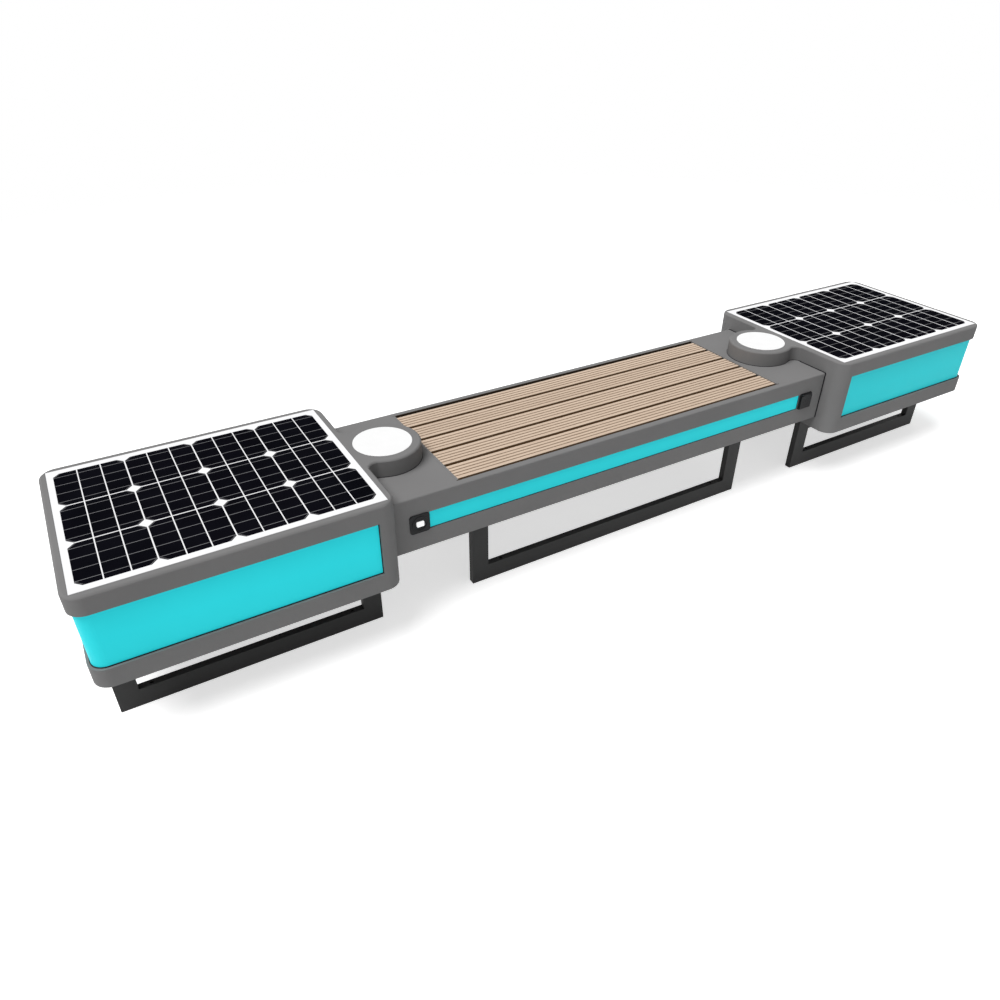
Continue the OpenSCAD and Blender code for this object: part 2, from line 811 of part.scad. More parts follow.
// One grooved slat, counted from the front
module slat(i) {
    y = (i - (slat_count + 1) / 2) * slat_pitch;
    groove_pitch = slat_w / (groove_count + 1);
    color(slat_wood) rotate([90, 0, 90]) translate([y, slat_z, -slat_l / 2])
        linear_extrude(slat_l) difference() {
            translate([-slat_w / 2, 0]) square([slat_w, slat_t]);
            for (k = [1 : groove_count])
                translate([k * groove_pitch - slat_w / 2 - groove_w / 2, slat_t - groove_depth])
                    square([groove_w, groove_depth + over]);
        }
}

// Opal strip behind the slot in the seat box's face
module light_strip(side) {
    l = strip_l + 2 * strip_lap;
    h = strip_h + 2 * strip_lap;
    y0 = side * (seat_d / 2 - sheet);
    y1 = y0 - side * diffuser_t;
    color(lit_cyan)
        block([-l / 2, min(y0, y1), strip_z - h / 2], [l / 2, max(y0, y1), strip_z + h / 2]);
}

// Channel with its light tape behind one strip
module light_rail(side) {
    y0 = seat_d / 2 - sheet;
    mirror([0, side < 0 ? 1 : 0, 0]) {
        difference() {
            block([-strip_l / 2, y0 - rail_depth, strip_z - rail_h / 2],
                [strip_l / 2, y0, strip_z + rail_h / 2]);
            block([-strip_l / 2 - over, y0 - rail_depth + rail_t, strip_z + rail_t - rail_h / 2],
                [strip_l / 2 + over, y0 + over, strip_z + rail_h / 2 - rail_t]);
        }
        block([-strip_l / 2, y0 - rail_depth, strip_z - led_h / 2],
            [strip_l / 2, y0 - rail_depth + rail_t + led_t, strip_z + led_h / 2]);
    }
}

// Both light rails of the seat box
module seat_light_rails() {
    color(alu) for (side = [front, back]) light_rail(side);
}

// Square plate in front of the seat box's face, centred on its own origin
module face_plate() {
    translate([0, plate_face + plate_t, 0]) rotate([90, 0, 0])
        linear_extrude(plate_t) rounded(plate_w, plate_w, plate_r);
}

// Button plate with its round collar and square body
module button_plate() {
    hole_w = button_w + 2 * button_clear;
    hole_h = button_h + 2 * button_clear;
    color(plate_black) translate([left * plate_cx, 0, strip_z]) difference() {
        union() {
            face_plate();
            block([-plate_body_w / 2, plate_face + plate_t / 2, -plate_body_w / 2],
                [plate_body_w / 2, switch_y, plate_body_w / 2]);
            translate([0, plate_face, 0]) rotate([90, 0, 0]) difference() {
                translate([0, 0, -plate_t / 2]) cylinder(collar_h + plate_t / 2, r = collar_r);
                translate([0, 0, -plate_t]) cylinder(collar_h + 2 * plate_t, r = collar_r - collar_w);
            }
        }
        translate([0, switch_y + over, 0]) rotate([90, 0, 0])
            linear_extrude(switch_y - plate_face + 2 * over)
                rounded(hole_w, hole_h, button_r + button_clear);
    }
}

// Switch that the push-button works on
module switch_block() {
    color(leg_black) translate([left * plate_cx, 0, strip_z])
        block([-switch_w / 2, switch_y, -switch_w / 2], [switch_w / 2, switch_y + switch_t, switch_w / 2]);
}

// White push-button that slides into its plate
module power_button() {
    color(sheet_white) translate([left * plate_cx, button_back, strip_z]) rotate([90, 0, 0])
        linear_extrude(button_l) rounded(button_w, button_h, button_r);
}

// Socket plate with its two hinge ears
module socket_plate() {
    ear_x = flap_knuckle_l / 2 + fit_gap + flap_ear_l / 2;
    color(plate_black) {
        translate([right * plate_cx, 0, strip_z]) difference() {
            face_plate();
            block([-socket_w / 2, plate_face - over, -socket_h / 2],
                [socket_w / 2, plate_face + plate_t + over, socket_h / 2]);
        }
        for (x = [-1, 1]) translate([right * plate_cx, flap_axis_y, flap_axis_z])
            hinge_ear(x * ear_x, flap_ear_l, flap_knuckle_r, flap_pin_r + run_gap,
                0, plate_face + plate_t / 2 - flap_axis_y, -flap_knuckle_r, flap_knuckle_r);
    }
}

// Socket insert with two charging slots and its rear flange
module usb_socket() {
    w = socket_w - 2 * socket_clear;
    h = socket_h - 2 * socket_clear;
    y0 = plate_face + socket_set;
    flange_y = plate_face + plate_t;
    color(leg_black) translate([right * plate_cx, 0, strip_z]) difference() {
        union() {
            block([-w / 2, y0, -h / 2], [w / 2, y0 + socket_l, h / 2]);
            block([-plate_body_w / 2, flange_y, -plate_body_w / 2],
                [plate_body_w / 2, flange_y + sheet, plate_body_w / 2]);
        }
        for (z = [-1, 1]) block(
            [-slot_w / 2, y0 - over, z * slot_pitch / 2 - slot_h / 2],
            [slot_w / 2, y0 + slot_depth, z * slot_pitch / 2 + slot_h / 2]);
    }
}

// Weather flap with its knuckle and raised grip dots
module socket_flap() {
    y0 = -flap_t / 2;
    z0 = flap_bottom - plate_w / 2 + flap_axis_drop - plate_w / 2;
    mid_z = (z0 - flap_edge) / 2;
    color(plate_black) translate([right * plate_cx, flap_axis_y, flap_axis_z]) {
        block([-flap_w / 2, y0, z0], [flap_w / 2, y0 + flap_t, -flap_edge]);
        hinge_ear(0, flap_knuckle_l, flap_knuckle_r, flap_pin_r + run_gap,
            y0, y0 + flap_t, -flap_edge - fit_gap, -flap_web_drop);
        for (i = [-1 : 1], k = [-1 : 1])
            translate([i * flap_rib_pitch, y0, mid_z + k * flap_rib_pitch])
                rotate([90, 0, 0]) cylinder(flap_rib_h, r = flap_rib_r);
    }
}

// Pin of the flap's hinge
module flap_pin() {
    l = flap_knuckle_l + 2 * (fit_gap + flap_ear_l);
    color(alu) translate([right * plate_cx - l / 2, flap_axis_y, flap_axis_z])
        rotate([0, 90, 0]) cylinder(l, r = flap_pin_r);
}

// Conduit that leads the wires through the seat box from pod to pod
module wiring_conduit() {
    l = 2 * (inner_x + conduit_reach);
    color(leg_black) translate([-l / 2, conduit_y, strip_z]) rotate([0, 90, 0]) difference() {
        cylinder(l, r = conduit_r);
        translate([0, 0, -over]) cylinder(l + 2 * over, r = conduit_r - conduit_t);
    }
}

// Rubber seals between the seat box and the pods
module joint_seals() {
    w = seat_d / 2 - seal_inset;
    color(plate_black) for (side = [left, right]) difference() {
        x0 = min(side * inner_x, side * (inner_x - seal_t));
        block([x0, -w, seat_z + seal_inset], [x0 + seal_t, w, seat_top - seal_inset]);
        joint_holes(x0 - over, seal_t + 2 * over);
    }
}

// Bolts that clamp the pods to the seat box
module seat_bolts() {
    grip = 2 * sheet + seal_t;
    heights = [seat_top - joint_bolt_drop, seat_z + joint_bolt_drop];
    color(alu) for (side = [left, right], y = [-1, 1], z = heights)
        translate([side * (inner_x + sheet), y * joint_bolt_y, z]) rotate([0, -side * 90, 0]) {
            translate([0, 0, -joint_head_h]) cylinder(joint_head_h, r = joint_head_r, $fn = 6);
            cylinder(grip + thread_share * nut_h, r = joint_bolt_r);
            translate([0, 0, grip]) cylinder(nut_h, r = nut_r, $fn = 6);
        }
}

// Flat bar along X with mitred ends, its long side at the origin's height
module mitred_bar(len) {
    x0 = len / 2 - weld_seam;
    x1 = x0 - bar_w;
    rotate([90, 0, 0]) translate([0, 0, -bar_t]) linear_extrude(bar_t)
        polygon([[-x0, 0], [x0, 0], [x1, bar_w], [-x1, bar_w]]);
}

// Rectangular loop of four mitred bars: bolt holes in its top bar, anchor holes in its bottom bar
module leg_loop(cx, side, len, h, bolt_span, anchor_span) {
    y0 = side < 0 ? -leg_y : leg_y - bar_t;
    color(leg_black) translate([cx, y0, 0]) {
        difference() {
            mitred_bar(len);
            for (x = [-1, 1]) translate([x * anchor_span / 2, bar_t / 2, -over])
                cylinder(bar_w + 2 * over, r = bolt_hole_r);
        }
        difference() {
            translate([0, 0, h]) mirror([0, 0, 1]) mitred_bar(len);
            for (x = [-1, 1]) translate([x * bolt_span / 2, bar_t / 2, h - bar_w - over])
                cylinder(bar_w + 2 * over, r = bolt_hole_r);
        }
        for (x = [-1, 1]) translate([x * len / 2, 0, h / 2]) rotate([0, -x * 90, 0]) mitred_bar(h);
    }
}

// One loop under a pod
module pod_leg(end, side) {
    leg_loop(end * pod_cx, side, pod_leg_l, pod_z, pod_bolt_span, pod_anchor_span);
}

// One loop under the seat box
module centre_leg(side) {
    leg_loop(0, side, centre_leg_l, seat_z, centre_bolt_span, centre_anchor_span);
}

// Bolt from under a loop's top bar up through the base above it
module leg_bolt(x, y, h) {
    translate([x, y, h - bar_w]) {
        translate([0, 0, -head_h]) cylinder(head_h, r = joint_head_r, $fn = 6);
        cylinder(bar_w + sheet + thread_share * nut_h, r = bolt_r);
        translate([0, 0, bar_w + sheet]) cylinder(nut_h, r = nut_r, $fn = 6);
    }
}

// All bolts between the legs and the bases
module leg_bolts() {
    color(alu) for (y = [-1, 1], x = [-1, 1]) {
        leg_bolt(x * centre_bolt_span / 2, y * (leg_y - bar_t / 2), seat_z);
        for (side = [left, right])
            leg_bolt(side * pod_cx + x * pod_bolt_span / 2, y * (leg_y - bar_t / 2), pod_z);
    }
}

module left_pod_shell() at_pod(left) pod_shell();
module left_pod_base() at_pod(left) pod_base();
module left_service_door() at_pod(left) service_door();
module left_door_pin() at_pod(left) door_pin();
module left_pod_diffuser() at_pod(left) pod_diffuser();
module left_light_wall() at_pod(left) light_wall();
module left_pod_leds() at_pod(left) pod_leds();
module left_panel_frame() at_pod(left) panel_frame();
module left_solar_laminate() at_pod(left) solar_laminate();
module left_solar_cells() at_pod(left) solar_cells();
module left_junction_box() at_pod(left) junction_box();
module left_battery() at_pod(left) battery();
module left_charge_controller() at_pod(left) fin_box(controller_l);
module left_charging_pad() at_pod(left) charging_pad();
module left_charging_coil() at_pod(left) charging_coil();
module right_pod_shell() at_pod(right) pod_shell();
module right_pod_base() at_pod(right) pod_base();
module right_service_door() at_pod(right) service_door();
module right_door_pin() at_pod(right) door_pin();
module right_pod_diffuser() at_pod(right) pod_diffuser();
module right_light_wall() at_pod(right) light_wall();
module right_pod_leds() at_pod(right) pod_leds();
module right_panel_frame() at_pod(right) panel_frame();
module right_solar_laminate() at_pod(right) solar_laminate();
module right_solar_cells() at_pod(right) solar_cells();
module right_junction_box() at_pod(right) junction_box();
module right_battery() at_pod(right) battery();
module right_light_driver() at_pod(right) fin_box(driver_l);
module right_charging_pad() at_pod(right) charging_pad();
module right_charging_coil() at_pod(right) charging_coil();
module slat_1() slat(1);
module slat_2() slat(2);
module slat_3() slat(3);
module slat_4() slat(4);
module slat_5() slat(5);
module front_light_strip() light_strip(front);
module back_light_strip() light_strip(back);
module left_front_leg() pod_leg(left, front);
module left_back_leg() pod_leg(left, back);
module centre_front_leg() centre_leg(front);
module centre_back_leg() centre_leg(back);
module right_front_leg() pod_leg(right, front);
module right_back_leg() pod_leg(right, back);

left_pod_shell();
left_pod_base();
left_service_door();
left_door_pin();
left_pod_diffuser();
left_light_wall();
left_pod_leds();
left_panel_frame();
left_solar_laminate();
left_solar_cells();
left_junction_box();
left_battery();
left_charge_controller();
left_charging_pad();
left_charging_coil();
right_pod_shell();
right_pod_base();
right_service_door();
right_door_pin();
right_pod_diffuser();
right_light_wall();
right_pod_leds();
right_panel_frame();
right_solar_laminate();
right_solar_cells();
right_junction_box();
right_battery();
right_light_driver();
right_charging_pad();
right_charging_coil();
seat_shell();
seat_base();
slat_tray();
slat_bearers();
slat_1();
slat_2();
slat_3();
slat_4();
slat_5();
front_light_strip();
back_light_strip();
seat_light_rails();
button_plate();
switch_block();
power_button();
socket_plate();
usb_socket();
socket_flap();
flap_pin();
wiring_conduit();
joint_seals();
seat_bolts();
left_front_leg();
left_back_leg();
centre_front_leg();
centre_back_leg();
right_front_leg();
right_back_leg();
leg_bolts();
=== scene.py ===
"""Looks of the solar charging bench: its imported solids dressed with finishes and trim.

The bench has two lit end pods with solar panels and round charging pads, a slatted
seat box between them, fittings on its front and loop legs of flat bar. All sizes are
in millimetres in the dataclass fields and in metres once they reach Blender.
"""

import logging
import math
from dataclasses import dataclass
from enum import Enum
from typing import Callable, Iterable, Self, Sequence

import bmesh
import bpy
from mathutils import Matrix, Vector


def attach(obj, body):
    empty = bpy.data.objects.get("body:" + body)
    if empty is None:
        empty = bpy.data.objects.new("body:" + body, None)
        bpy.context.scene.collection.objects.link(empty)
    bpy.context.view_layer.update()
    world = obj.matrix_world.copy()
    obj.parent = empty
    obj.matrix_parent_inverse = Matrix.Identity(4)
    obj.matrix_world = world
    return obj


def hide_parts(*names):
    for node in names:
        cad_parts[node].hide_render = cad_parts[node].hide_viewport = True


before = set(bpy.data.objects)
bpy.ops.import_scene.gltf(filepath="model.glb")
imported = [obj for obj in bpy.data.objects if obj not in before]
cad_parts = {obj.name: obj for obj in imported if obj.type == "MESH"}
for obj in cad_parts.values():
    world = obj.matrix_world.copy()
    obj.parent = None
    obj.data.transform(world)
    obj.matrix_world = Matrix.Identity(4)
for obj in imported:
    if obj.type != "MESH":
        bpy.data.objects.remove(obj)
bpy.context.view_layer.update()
log = logging.getLogger("charging_bench")

Colour = tuple[float, float, float]
Point = Sequence[float]
Socket = bpy.types.NodeSocket
Material = bpy.types.Material
Piece = bpy.types.Object

MM = 0.001
NEAR = 0.01  # slack of a test on places, in millimetres
FACING = 0.9  # least share of a normal along the way that its face looks
SMOOTH_ANGLE = 35.0  # largest angle shaded smooth on a modelled piece, in degrees
STILL = (0.0, 0.0, 0.0)
UNIT = (1.0, 1.0, 1.0)
WHITE = (1.0, 1.0, 1.0)
CLOUD_RANGE = (0.3, 0.7)  # values of a cloudy pattern that a finish's sheen follows
FAINT_RANGE = (0.35, 0.65)  # values of a cloudy pattern that its colour follows
MIX_INPUTS = (0, 6, 7)  # share and two colours on Blender's mix node
MIX_RESULT = 2  # blended colour on Blender's mix node


class Slot(Enum):
    """Material slots that the record names."""

    POD_PAINT = "pod_paint"
    LEG_PAINT = "leg_paint"
    TRAY_PAINT = "tray_paint"
    WHITE_PAINT = "white_paint"
    WOOD_SLAT = "wood_slat"
    LIT_OPAL = "lit_opal"
    LIGHT_TAPE = "light_tape"
    BARE_ALU = "bare_alu"
    STEEL = "steel"
    WHITE_LAMINATE = "white_laminate"
    SOLAR_CELL = "solar_cell"
    BLACK_PLASTIC = "black_plastic"
    BATTERY_CASE = "battery_case"
    PAD_WHITE = "pad_white"
    COPPER_COIL = "copper_coil"
    SEAL_RUBBER = "seal_rubber"


class Body(Enum):
    """Bodies that the pieces ride on."""

    BENCH = "bench"
    BUTTON = "button"
    FLAP = "flap"
    LEFT_DOOR = "left_door"
    RIGHT_DOOR = "right_door"


class Place(Enum):
    """Place on the bench whose name is part of its pieces' names."""

    @property
    def word(self) -> str:
        """Word for the pieces' names."""
        return self.name.lower()


class Side(Place):
    """Ends of the bench, by the sign of X."""

    LEFT = -1
    RIGHT = 1

    @property
    def door(self) -> Body:
        """Body of this end's service door."""
        return Body.LEFT_DOOR if self is Side.LEFT else Body.RIGHT_DOOR


class Face(Place):
    """Front and back of the bench, by the sign of Y."""

    FRONT = -1
    BACK = 1


def metres(lengths: Iterable[float]) -> list[float]:
    """Turns lengths in millimetres into metres."""
    return [length * MM for length in lengths]


# Finishes


class NodeSheet:
    """Shader nodes laid out on one tree."""

    def __init__(self, tree: bpy.types.NodeTree) -> None:
        """Takes the tree that the nodes go on."""
        self.tree = tree

    def node(self, kind: str, **settings: object) -> bpy.types.Node:
        """Adds one node.

        Args:
            kind: Blender's type of node.
            settings: Properties to set on it.

        Returns:
            The new node.
        """
        made = self.tree.nodes.new(kind)
        for key, value in settings.items():
            setattr(made, key, value)
        return made

    def feed(self, socket: Socket, value: object) -> None:
        """Links a socket to another node's output, or sets its value.

        Args:
            socket: Input to fill.
            value: An output socket, a number, a vector or a colour.
        """
        if isinstance(value, bpy.types.NodeSocket):
            self.tree.links.new(value, socket)
        elif isinstance(value, tuple) and len(value) == 3 and socket.type == "RGBA":
            socket.default_value = (*value, 1.0)
        else:
            socket.default_value = value

    def fill(self, node: bpy.types.Node, **inputs: object) -> None:
        """Feeds a node's inputs, named with underscores for spaces."""
        for key, value in inputs.items():
            self.feed(node.inputs[key.replace("_", " ")], value)

    def result(self, kind: str, values: Sequence[object], **settings: object) -> Socket:
        """Adds a node and feeds its first inputs in their order.

        Args:
            kind: Blender's type of node.
            values: What goes in.
            settings: Properties to set on the node.

        Returns:
            The node's first output.
        """
        made = self.node(kind, **settings)
        for socket, value in zip(made.inputs, values):
            self.feed(socket, value)
        return made.outputs[0]

    def math(self, operation: str, *values: object) -> Socket:
        """Result of one of Blender's sums on one to three values."""
        return self.result("ShaderNodeMath", values, operation=operation)

    def spread(self, value: object, low: float, high: float, start: float, end: float) -> Socket:
        """Maps low to start and high to end, and holds a value at the ends."""
        return self.result("ShaderNodeMapRange", (value, low, high, start, end))

    def radius(self, x: Socket, y: Socket) -> Socket:
        """Distance from the upright line where X and Y are 0."""
        return self.math("SQRT", self.math("MULTIPLY_ADD", x, x, self.math("MULTIPLY", y, y)))

    def seen(self) -> Socket:
        """Mask that is 1 for the camera, in gloss and through glass, and else 0."""
        path = self.node("ShaderNodeLightPath").outputs
        direct = self.math("MAXIMUM", path["Is Camera Ray"], path["Is Glossy Ray"])
        return self.math("MAXIMUM", direct, path["Is Transmission Ray"])


class Recipe(NodeSheet):
    """Nodes of one finish, on object coordinates."""

    def __init__(self, name: str) -> None:
        """Starts a material.

        Args:
            name: Name of the finish.
        """
        self.material = bpy.data.materials.new(name)
        self.material.use_nodes = True
        super().__init__(self.material.node_tree)
        self.shader = self.tree.nodes["Principled BSDF"]
        self.place = self.node("ShaderNodeTexCoord").outputs["Object"]

    def surface(self, **inputs: object) -> None:
        """Feeds the main shader's inputs, named with underscores for spaces."""
        self.fill(self.shader, **inputs)

    def stretched(self, scale: Point) -> Socket:
        """Place with X, Y and Z each stretched by a factor."""
        return self.result("ShaderNodeMapping", (self.place, STILL, STILL, scale))

    def axes(self) -> tuple[Socket, ...]:
        """X, Y and Z of the place, in metres."""
        return tuple(self.result("ShaderNodeSeparateXYZ", (self.place,)).node.outputs)

    def noise(self, scale: float, detail: float = 2.0, where: Socket | None = None) -> Socket:
        """Cloudy pattern between about 0.3 and 0.7.

        Args:
            scale: Number of clouds per metre.
            detail: Number of finer layers.
            where: Coordinates, or None for the plain place.

        Returns:
            The pattern's value.
        """
        made = self.node("ShaderNodeTexNoise")
        self.fill(made, Vector=where or self.place, Scale=scale, Detail=detail)
        return made.outputs["Fac"]

    def sway(self, pattern: Socket, start: float, end: float) -> Socket:
        """Value that a cloudy pattern moves between two ends."""
        return self.spread(pattern, *CLOUD_RANGE, start, end)

    def mix(self, share: object, first: object, second: object) -> Socket:
        """Blends two colours.

        Args:
            share: 0 gives the first colour and 1 the second.
            first: First colour.
            second: Second colour.

        Returns:
            The blended colour.
        """
        made = self.node("ShaderNodeMix", data_type="RGBA")
        for number, value in zip(MIX_INPUTS, (share, first, second)):
            self.feed(made.inputs[number], value)
        return made.outputs[MIX_RESULT]

    def varied(self, colour: Colour, share: float, pattern: Socket) -> Socket:
        """Colour that a cloudy pattern makes darker and lighter by up to a share."""
        dark, pale = (tuple(c * level for c in colour) for level in (1 - share, 1 + share))
        return self.mix(self.spread(pattern, *FAINT_RANGE, 0.0, 1.0), dark, pale)

    def off(self, value: Socket, middle: float) -> Socket:
        """Distance of a value from a middle, in metres."""
        return self.math("ABSOLUTE", self.math("SUBTRACT", value, middle))

    def from_line(self, value: Socket, pitch: float, shift: float = 0.0) -> Socket:
        """Distance to the nearest of a row of lines, in metres.

        Args:
            value: Coordinate across the lines, in metres.
            pitch: Distance between the lines, in millimetres.
            shift: Coordinate of one line, in millimetres.

        Returns:
            The distance.
        """
        turns = self.math("MULTIPLY_ADD", value, 1.0 / (pitch * MM), 0.5 - shift / pitch)
        off = self.off(self.math("FRACT", turns), 0.5)
        return self.math("MULTIPLY", off, pitch * MM)

    def band(self, value: Socket, pitch: float, half: float, shift: float = 0.0) -> Socket:
        """Mask of a row of lines, as from_line places them: 1 within half a width of one."""
        return self.math("LESS_THAN", self.from_line(value, pitch, shift), half * MM)

    def bump(self, height: Socket, depth: float) -> None:
        """Roughens the surface by a pattern.

        Args:
            height: Pattern.
            depth: Height of the relief, in millimetres.
        """
        made = self.node("ShaderNodeBump")
        self.fill(made, Strength=1.0, Distance=depth * MM, Height=height)
        self.surface(Normal=made.outputs["Normal"])


@dataclass(frozen=True)
class PowderCoat:
    """Powder coat on steel, with a fine orange-peel grain and slight clouding."""

    name: str
    colour: Colour
    roughness: float = 0.5
    clouding: float = 0.05
    gloss: float = 0.4
    grain: float = 0.05
    cloud_scale: float = 4.0
    peel_scale: float = 420.0
    dust_scale: float = 1500.0
    dust_share: float = 0.35

    def material(self) -> Material:
        """Builds the shader."""
        mix = Recipe(self.name)
        cloud = mix.math("MULTIPLY", mix.noise(self.cloud_scale, 3.0), 1 - self.dust_share)
        peel = mix.noise(self.peel_scale)
        dust = mix.noise(self.dust_scale, 1.0)
        shade = mix.math("MULTIPLY_ADD", dust, self.dust_share, cloud)
        mix.surface(
            Base_Color=mix.varied(self.colour, self.clouding, shade),
            Roughness=mix.sway(peel, self.roughness - 0.05, self.roughness + 0.06),
            Specular_IOR_Level=self.gloss,
        )
        mix.bump(peel, self.grain)
        return mix.material


@dataclass(frozen=True)
class LitOpal:
    """Opal acrylic lit from behind: brightest at the light tape's height."""

    name: str
    strength: float
    middle: float
    half: float
    colour: Colour = (0.036, 0.53, 0.565)
    glow: Colour = (0.0, 0.86, 1.0)
    gloss: float = 0.05
    fade: tuple[float, float] = (1.05, 0.93)
    haze: tuple[float, float] = (0.98, 1.02)

    def material(self) -> Material:
        """Builds the shader."""
        mix = Recipe(self.name)
        away = mix.off(mix.axes()[2], self.middle * MM)
        fade = mix.spread(away, 0.0, self.half * MM, *self.fade)
        haze = mix.sway(mix.noise(2.5, 1.0), *self.haze)
        light = mix.math("MULTIPLY", fade, haze)
        mix.surface(
            Base_Color=mix.varied(self.colour, 0.015, mix.noise(6.0)),
            Roughness=mix.sway(mix.noise(300.0, 1.0), 0.40, 0.46),
            Specular_IOR_Level=self.gloss,
            Emission_Color=self.glow,
            Emission_Strength=mix.math("MULTIPLY", light, self.strength),
        )
        mix.bump(mix.noise(900.0, 1.0), 0.01)
        return mix.material


@dataclass(frozen=True)
class GroovedComposite:
    """Brushed wood composite: pale ridges with streaks along X, brown grooves, and darker sides:
    partly the board's own brown, partly painted shade of the gaps between slats.
    """

    name: str
    ridge: Colour
    streak: Colour
    groove: Colour
    side: Colour
    side_z: float
    groove_z: float
    ridge_z: float
    side_blend: float = 0.3
    fibre_stretch: Point = (5.0, 420.0, 420.0)
    brush_stretch: Point = (45.0, 1900.0, 1900.0)
    batch_stretch: Point = (0.7, 13.0, 1.0)
    fibre_range: tuple[float, float] = (0.38, 0.66)
    batch_share: float = 0.16
    brush_share: float = 0.6
    relief: float = 0.09
    gloss: float = 0.3

    def material(self) -> Material:
        """Builds the shader."""
        mix = Recipe(self.name)
        z = mix.axes()[2]
        fibre = mix.noise(1.0, 4.0, mix.stretched(self.fibre_stretch))
        brushed = mix.noise(1.0, 2.0, mix.stretched(self.brush_stretch))
        batch = mix.noise(1.0, 1.0, mix.stretched(self.batch_stretch))
        pale = mix.mix(mix.spread(fibre, *self.fibre_range, 0.0, 1.0), self.ridge, self.streak)
        tone = mix.mix(mix.sway(batch, 0.0, self.batch_share), pale, self.groove)
        high = mix.spread(z, self.groove_z * MM, self.ridge_z * MM, 0.0, 1.0)
        # Below the groove floor the sides take the darker brown: partly the board's own, partly
        # painted shade of the gaps between slats.
        side_shade_share = mix.spread(z, (self.side_z - self.side_blend) * MM, self.side_z * MM, 0.0, 1.0)
        mix.surface(
            Base_Color=mix.mix(side_shade_share, self.side, mix.mix(high, self.groove, tone)),
            Roughness=mix.sway(brushed, 0.62, 0.78),
            Specular_IOR_Level=self.gloss,
        )
        mix.bump(mix.math("MULTIPLY_ADD", brushed, self.brush_share, fibre), self.relief)
        return mix.material


@dataclass(frozen=True)
class PanelSheet:
    """White back sheet of a solar laminate seen through its clear front."""

    name: str
    colour: Colour
    gloss: float = 0.12

    def material(self) -> Material:
        """Builds the shader."""
        mix = Recipe(self.name)
        mix.surface(
            Base_Color=mix.varied(self.colour, 0.015, mix.noise(9.0)),
            Roughness=mix.sway(mix.noise(40.0), 0.20, 0.28),
            Specular_IOR_Level=self.gloss,
        )
        mix.bump(mix.noise(1400.0, 1.0), 0.006)
        return mix.material


@dataclass(frozen=True)
class CellSilicon:
    """Black mono cells under glass, with their bars, fingers and corner lines."""

    name: str
    colour: Colour
    finger: Colour
    bar: Colour
    pitch: float = 160.0
    first_x: float = 860.0
    bar_pitch: float = 40.0
    bar_w: float = 1.6
    finger_pitch: float = 1.9
    finger_share: float = 0.09
    corner_sum: float = 139.0
    corner_half: float = 0.7

    def material(self) -> Material:
        """Builds the shader."""
        mix = Recipe(self.name)
        x, y, _ = mix.axes()
        in_x = mix.from_line(mix.math("ABSOLUTE", x), self.pitch, self.first_x)
        in_y = mix.from_line(y, self.pitch)
        bars = mix.band(y, self.bar_pitch, self.bar_w / 2, self.bar_pitch / 2)
        fingers = mix.band(x, self.finger_pitch, self.finger_share * self.finger_pitch)
        corner = mix.off(mix.math("ADD", in_x, in_y), self.corner_sum * MM)
        line = mix.math("LESS_THAN", corner, self.corner_half * MM)
        wafer = mix.varied(self.colour, 0.25, mix.noise(7.0, 3.0))
        drawn = mix.mix(fingers, wafer, self.finger)
        mix.surface(
            Base_Color=mix.mix(mix.math("MAXIMUM", bars, line), drawn, self.bar),
            Roughness=mix.sway(mix.noise(18.0), 0.16, 0.24),
            Specular_IOR_Level=0.0,
        )
        mix.bump(mix.noise(700.0, 1.0), 0.004)
        return mix.material


@dataclass(frozen=True)
class MouldedPlastic:
    """Moulded plastic with a fine spark-eroded texture, lit from inside where it glows."""

    name: str
    colour: Colour
    roughness: float = 0.42
    grain: float = 0.02
    clouding: float = 0.06
    gloss: float = 0.4
    glow: float = 0.0

    def material(self) -> Material:
        """Builds the shader."""
        mix = Recipe(self.name)
        grain = mix.noise(1100.0, 3.0)
        mix.surface(
            Base_Color=mix.varied(self.colour, self.clouding, mix.noise(25.0, 3.0)),
            Roughness=mix.sway(grain, self.roughness - 0.06, self.roughness + 0.06),
            Specular_IOR_Level=self.gloss,
            Emission_Color=self.colour,
            Emission_Strength=self.glow,
        )
        mix.bump(grain, self.grain)
        return mix.material


@dataclass(frozen=True)
class BatteryCase:
    """Battery case: blue-grey plastic with a darker lid and lead terminals."""

    name: str
    colour: Colour
    lid: Colour
    lead: Colour
    lid_z: float = 344.0
    terminal_z: float = 365.3

    def material(self) -> Material:
        """Builds the shader."""
        mix = Recipe(self.name)
        z = mix.axes()[2]
        grain = mix.noise(900.0, 3.0)
        case = mix.varied(self.colour, 0.08, mix.noise(20.0, 3.0))
        lidded = mix.mix(mix.math("GREATER_THAN", z, self.lid_z * MM), case, self.lid)
        post = mix.math("GREATER_THAN", z, self.terminal_z * MM)
        mix.surface(
            Base_Color=mix.mix(post, lidded, self.lead),
            Metallic=post,
            Roughness=mix.sway(grain, 0.36, 0.5),
        )
        mix.bump(grain, 0.02)
        return mix.material


@dataclass(frozen=True)
class BareMetal:
    """Bare metal with fine drawing marks along one axis."""

    name: str
    colour: Colour
    roughness: float
    stretch: Point = (6.0, 700.0, 700.0)

    def material(self) -> Material:
        """Builds the shader."""
        mix = Recipe(self.name)
        drawn = mix.noise(1.0, 3.0, mix.stretched(self.stretch))
        mix.surface(
            Base_Color=mix.varied(self.colour, 0.07, mix.noise(30.0, 3.0)),
            Metallic=1.0,
            Roughness=mix.sway(drawn, self.roughness - 0.08, self.roughness + 0.1),
        )
        mix.bump(drawn, 0.02)
        return mix.material


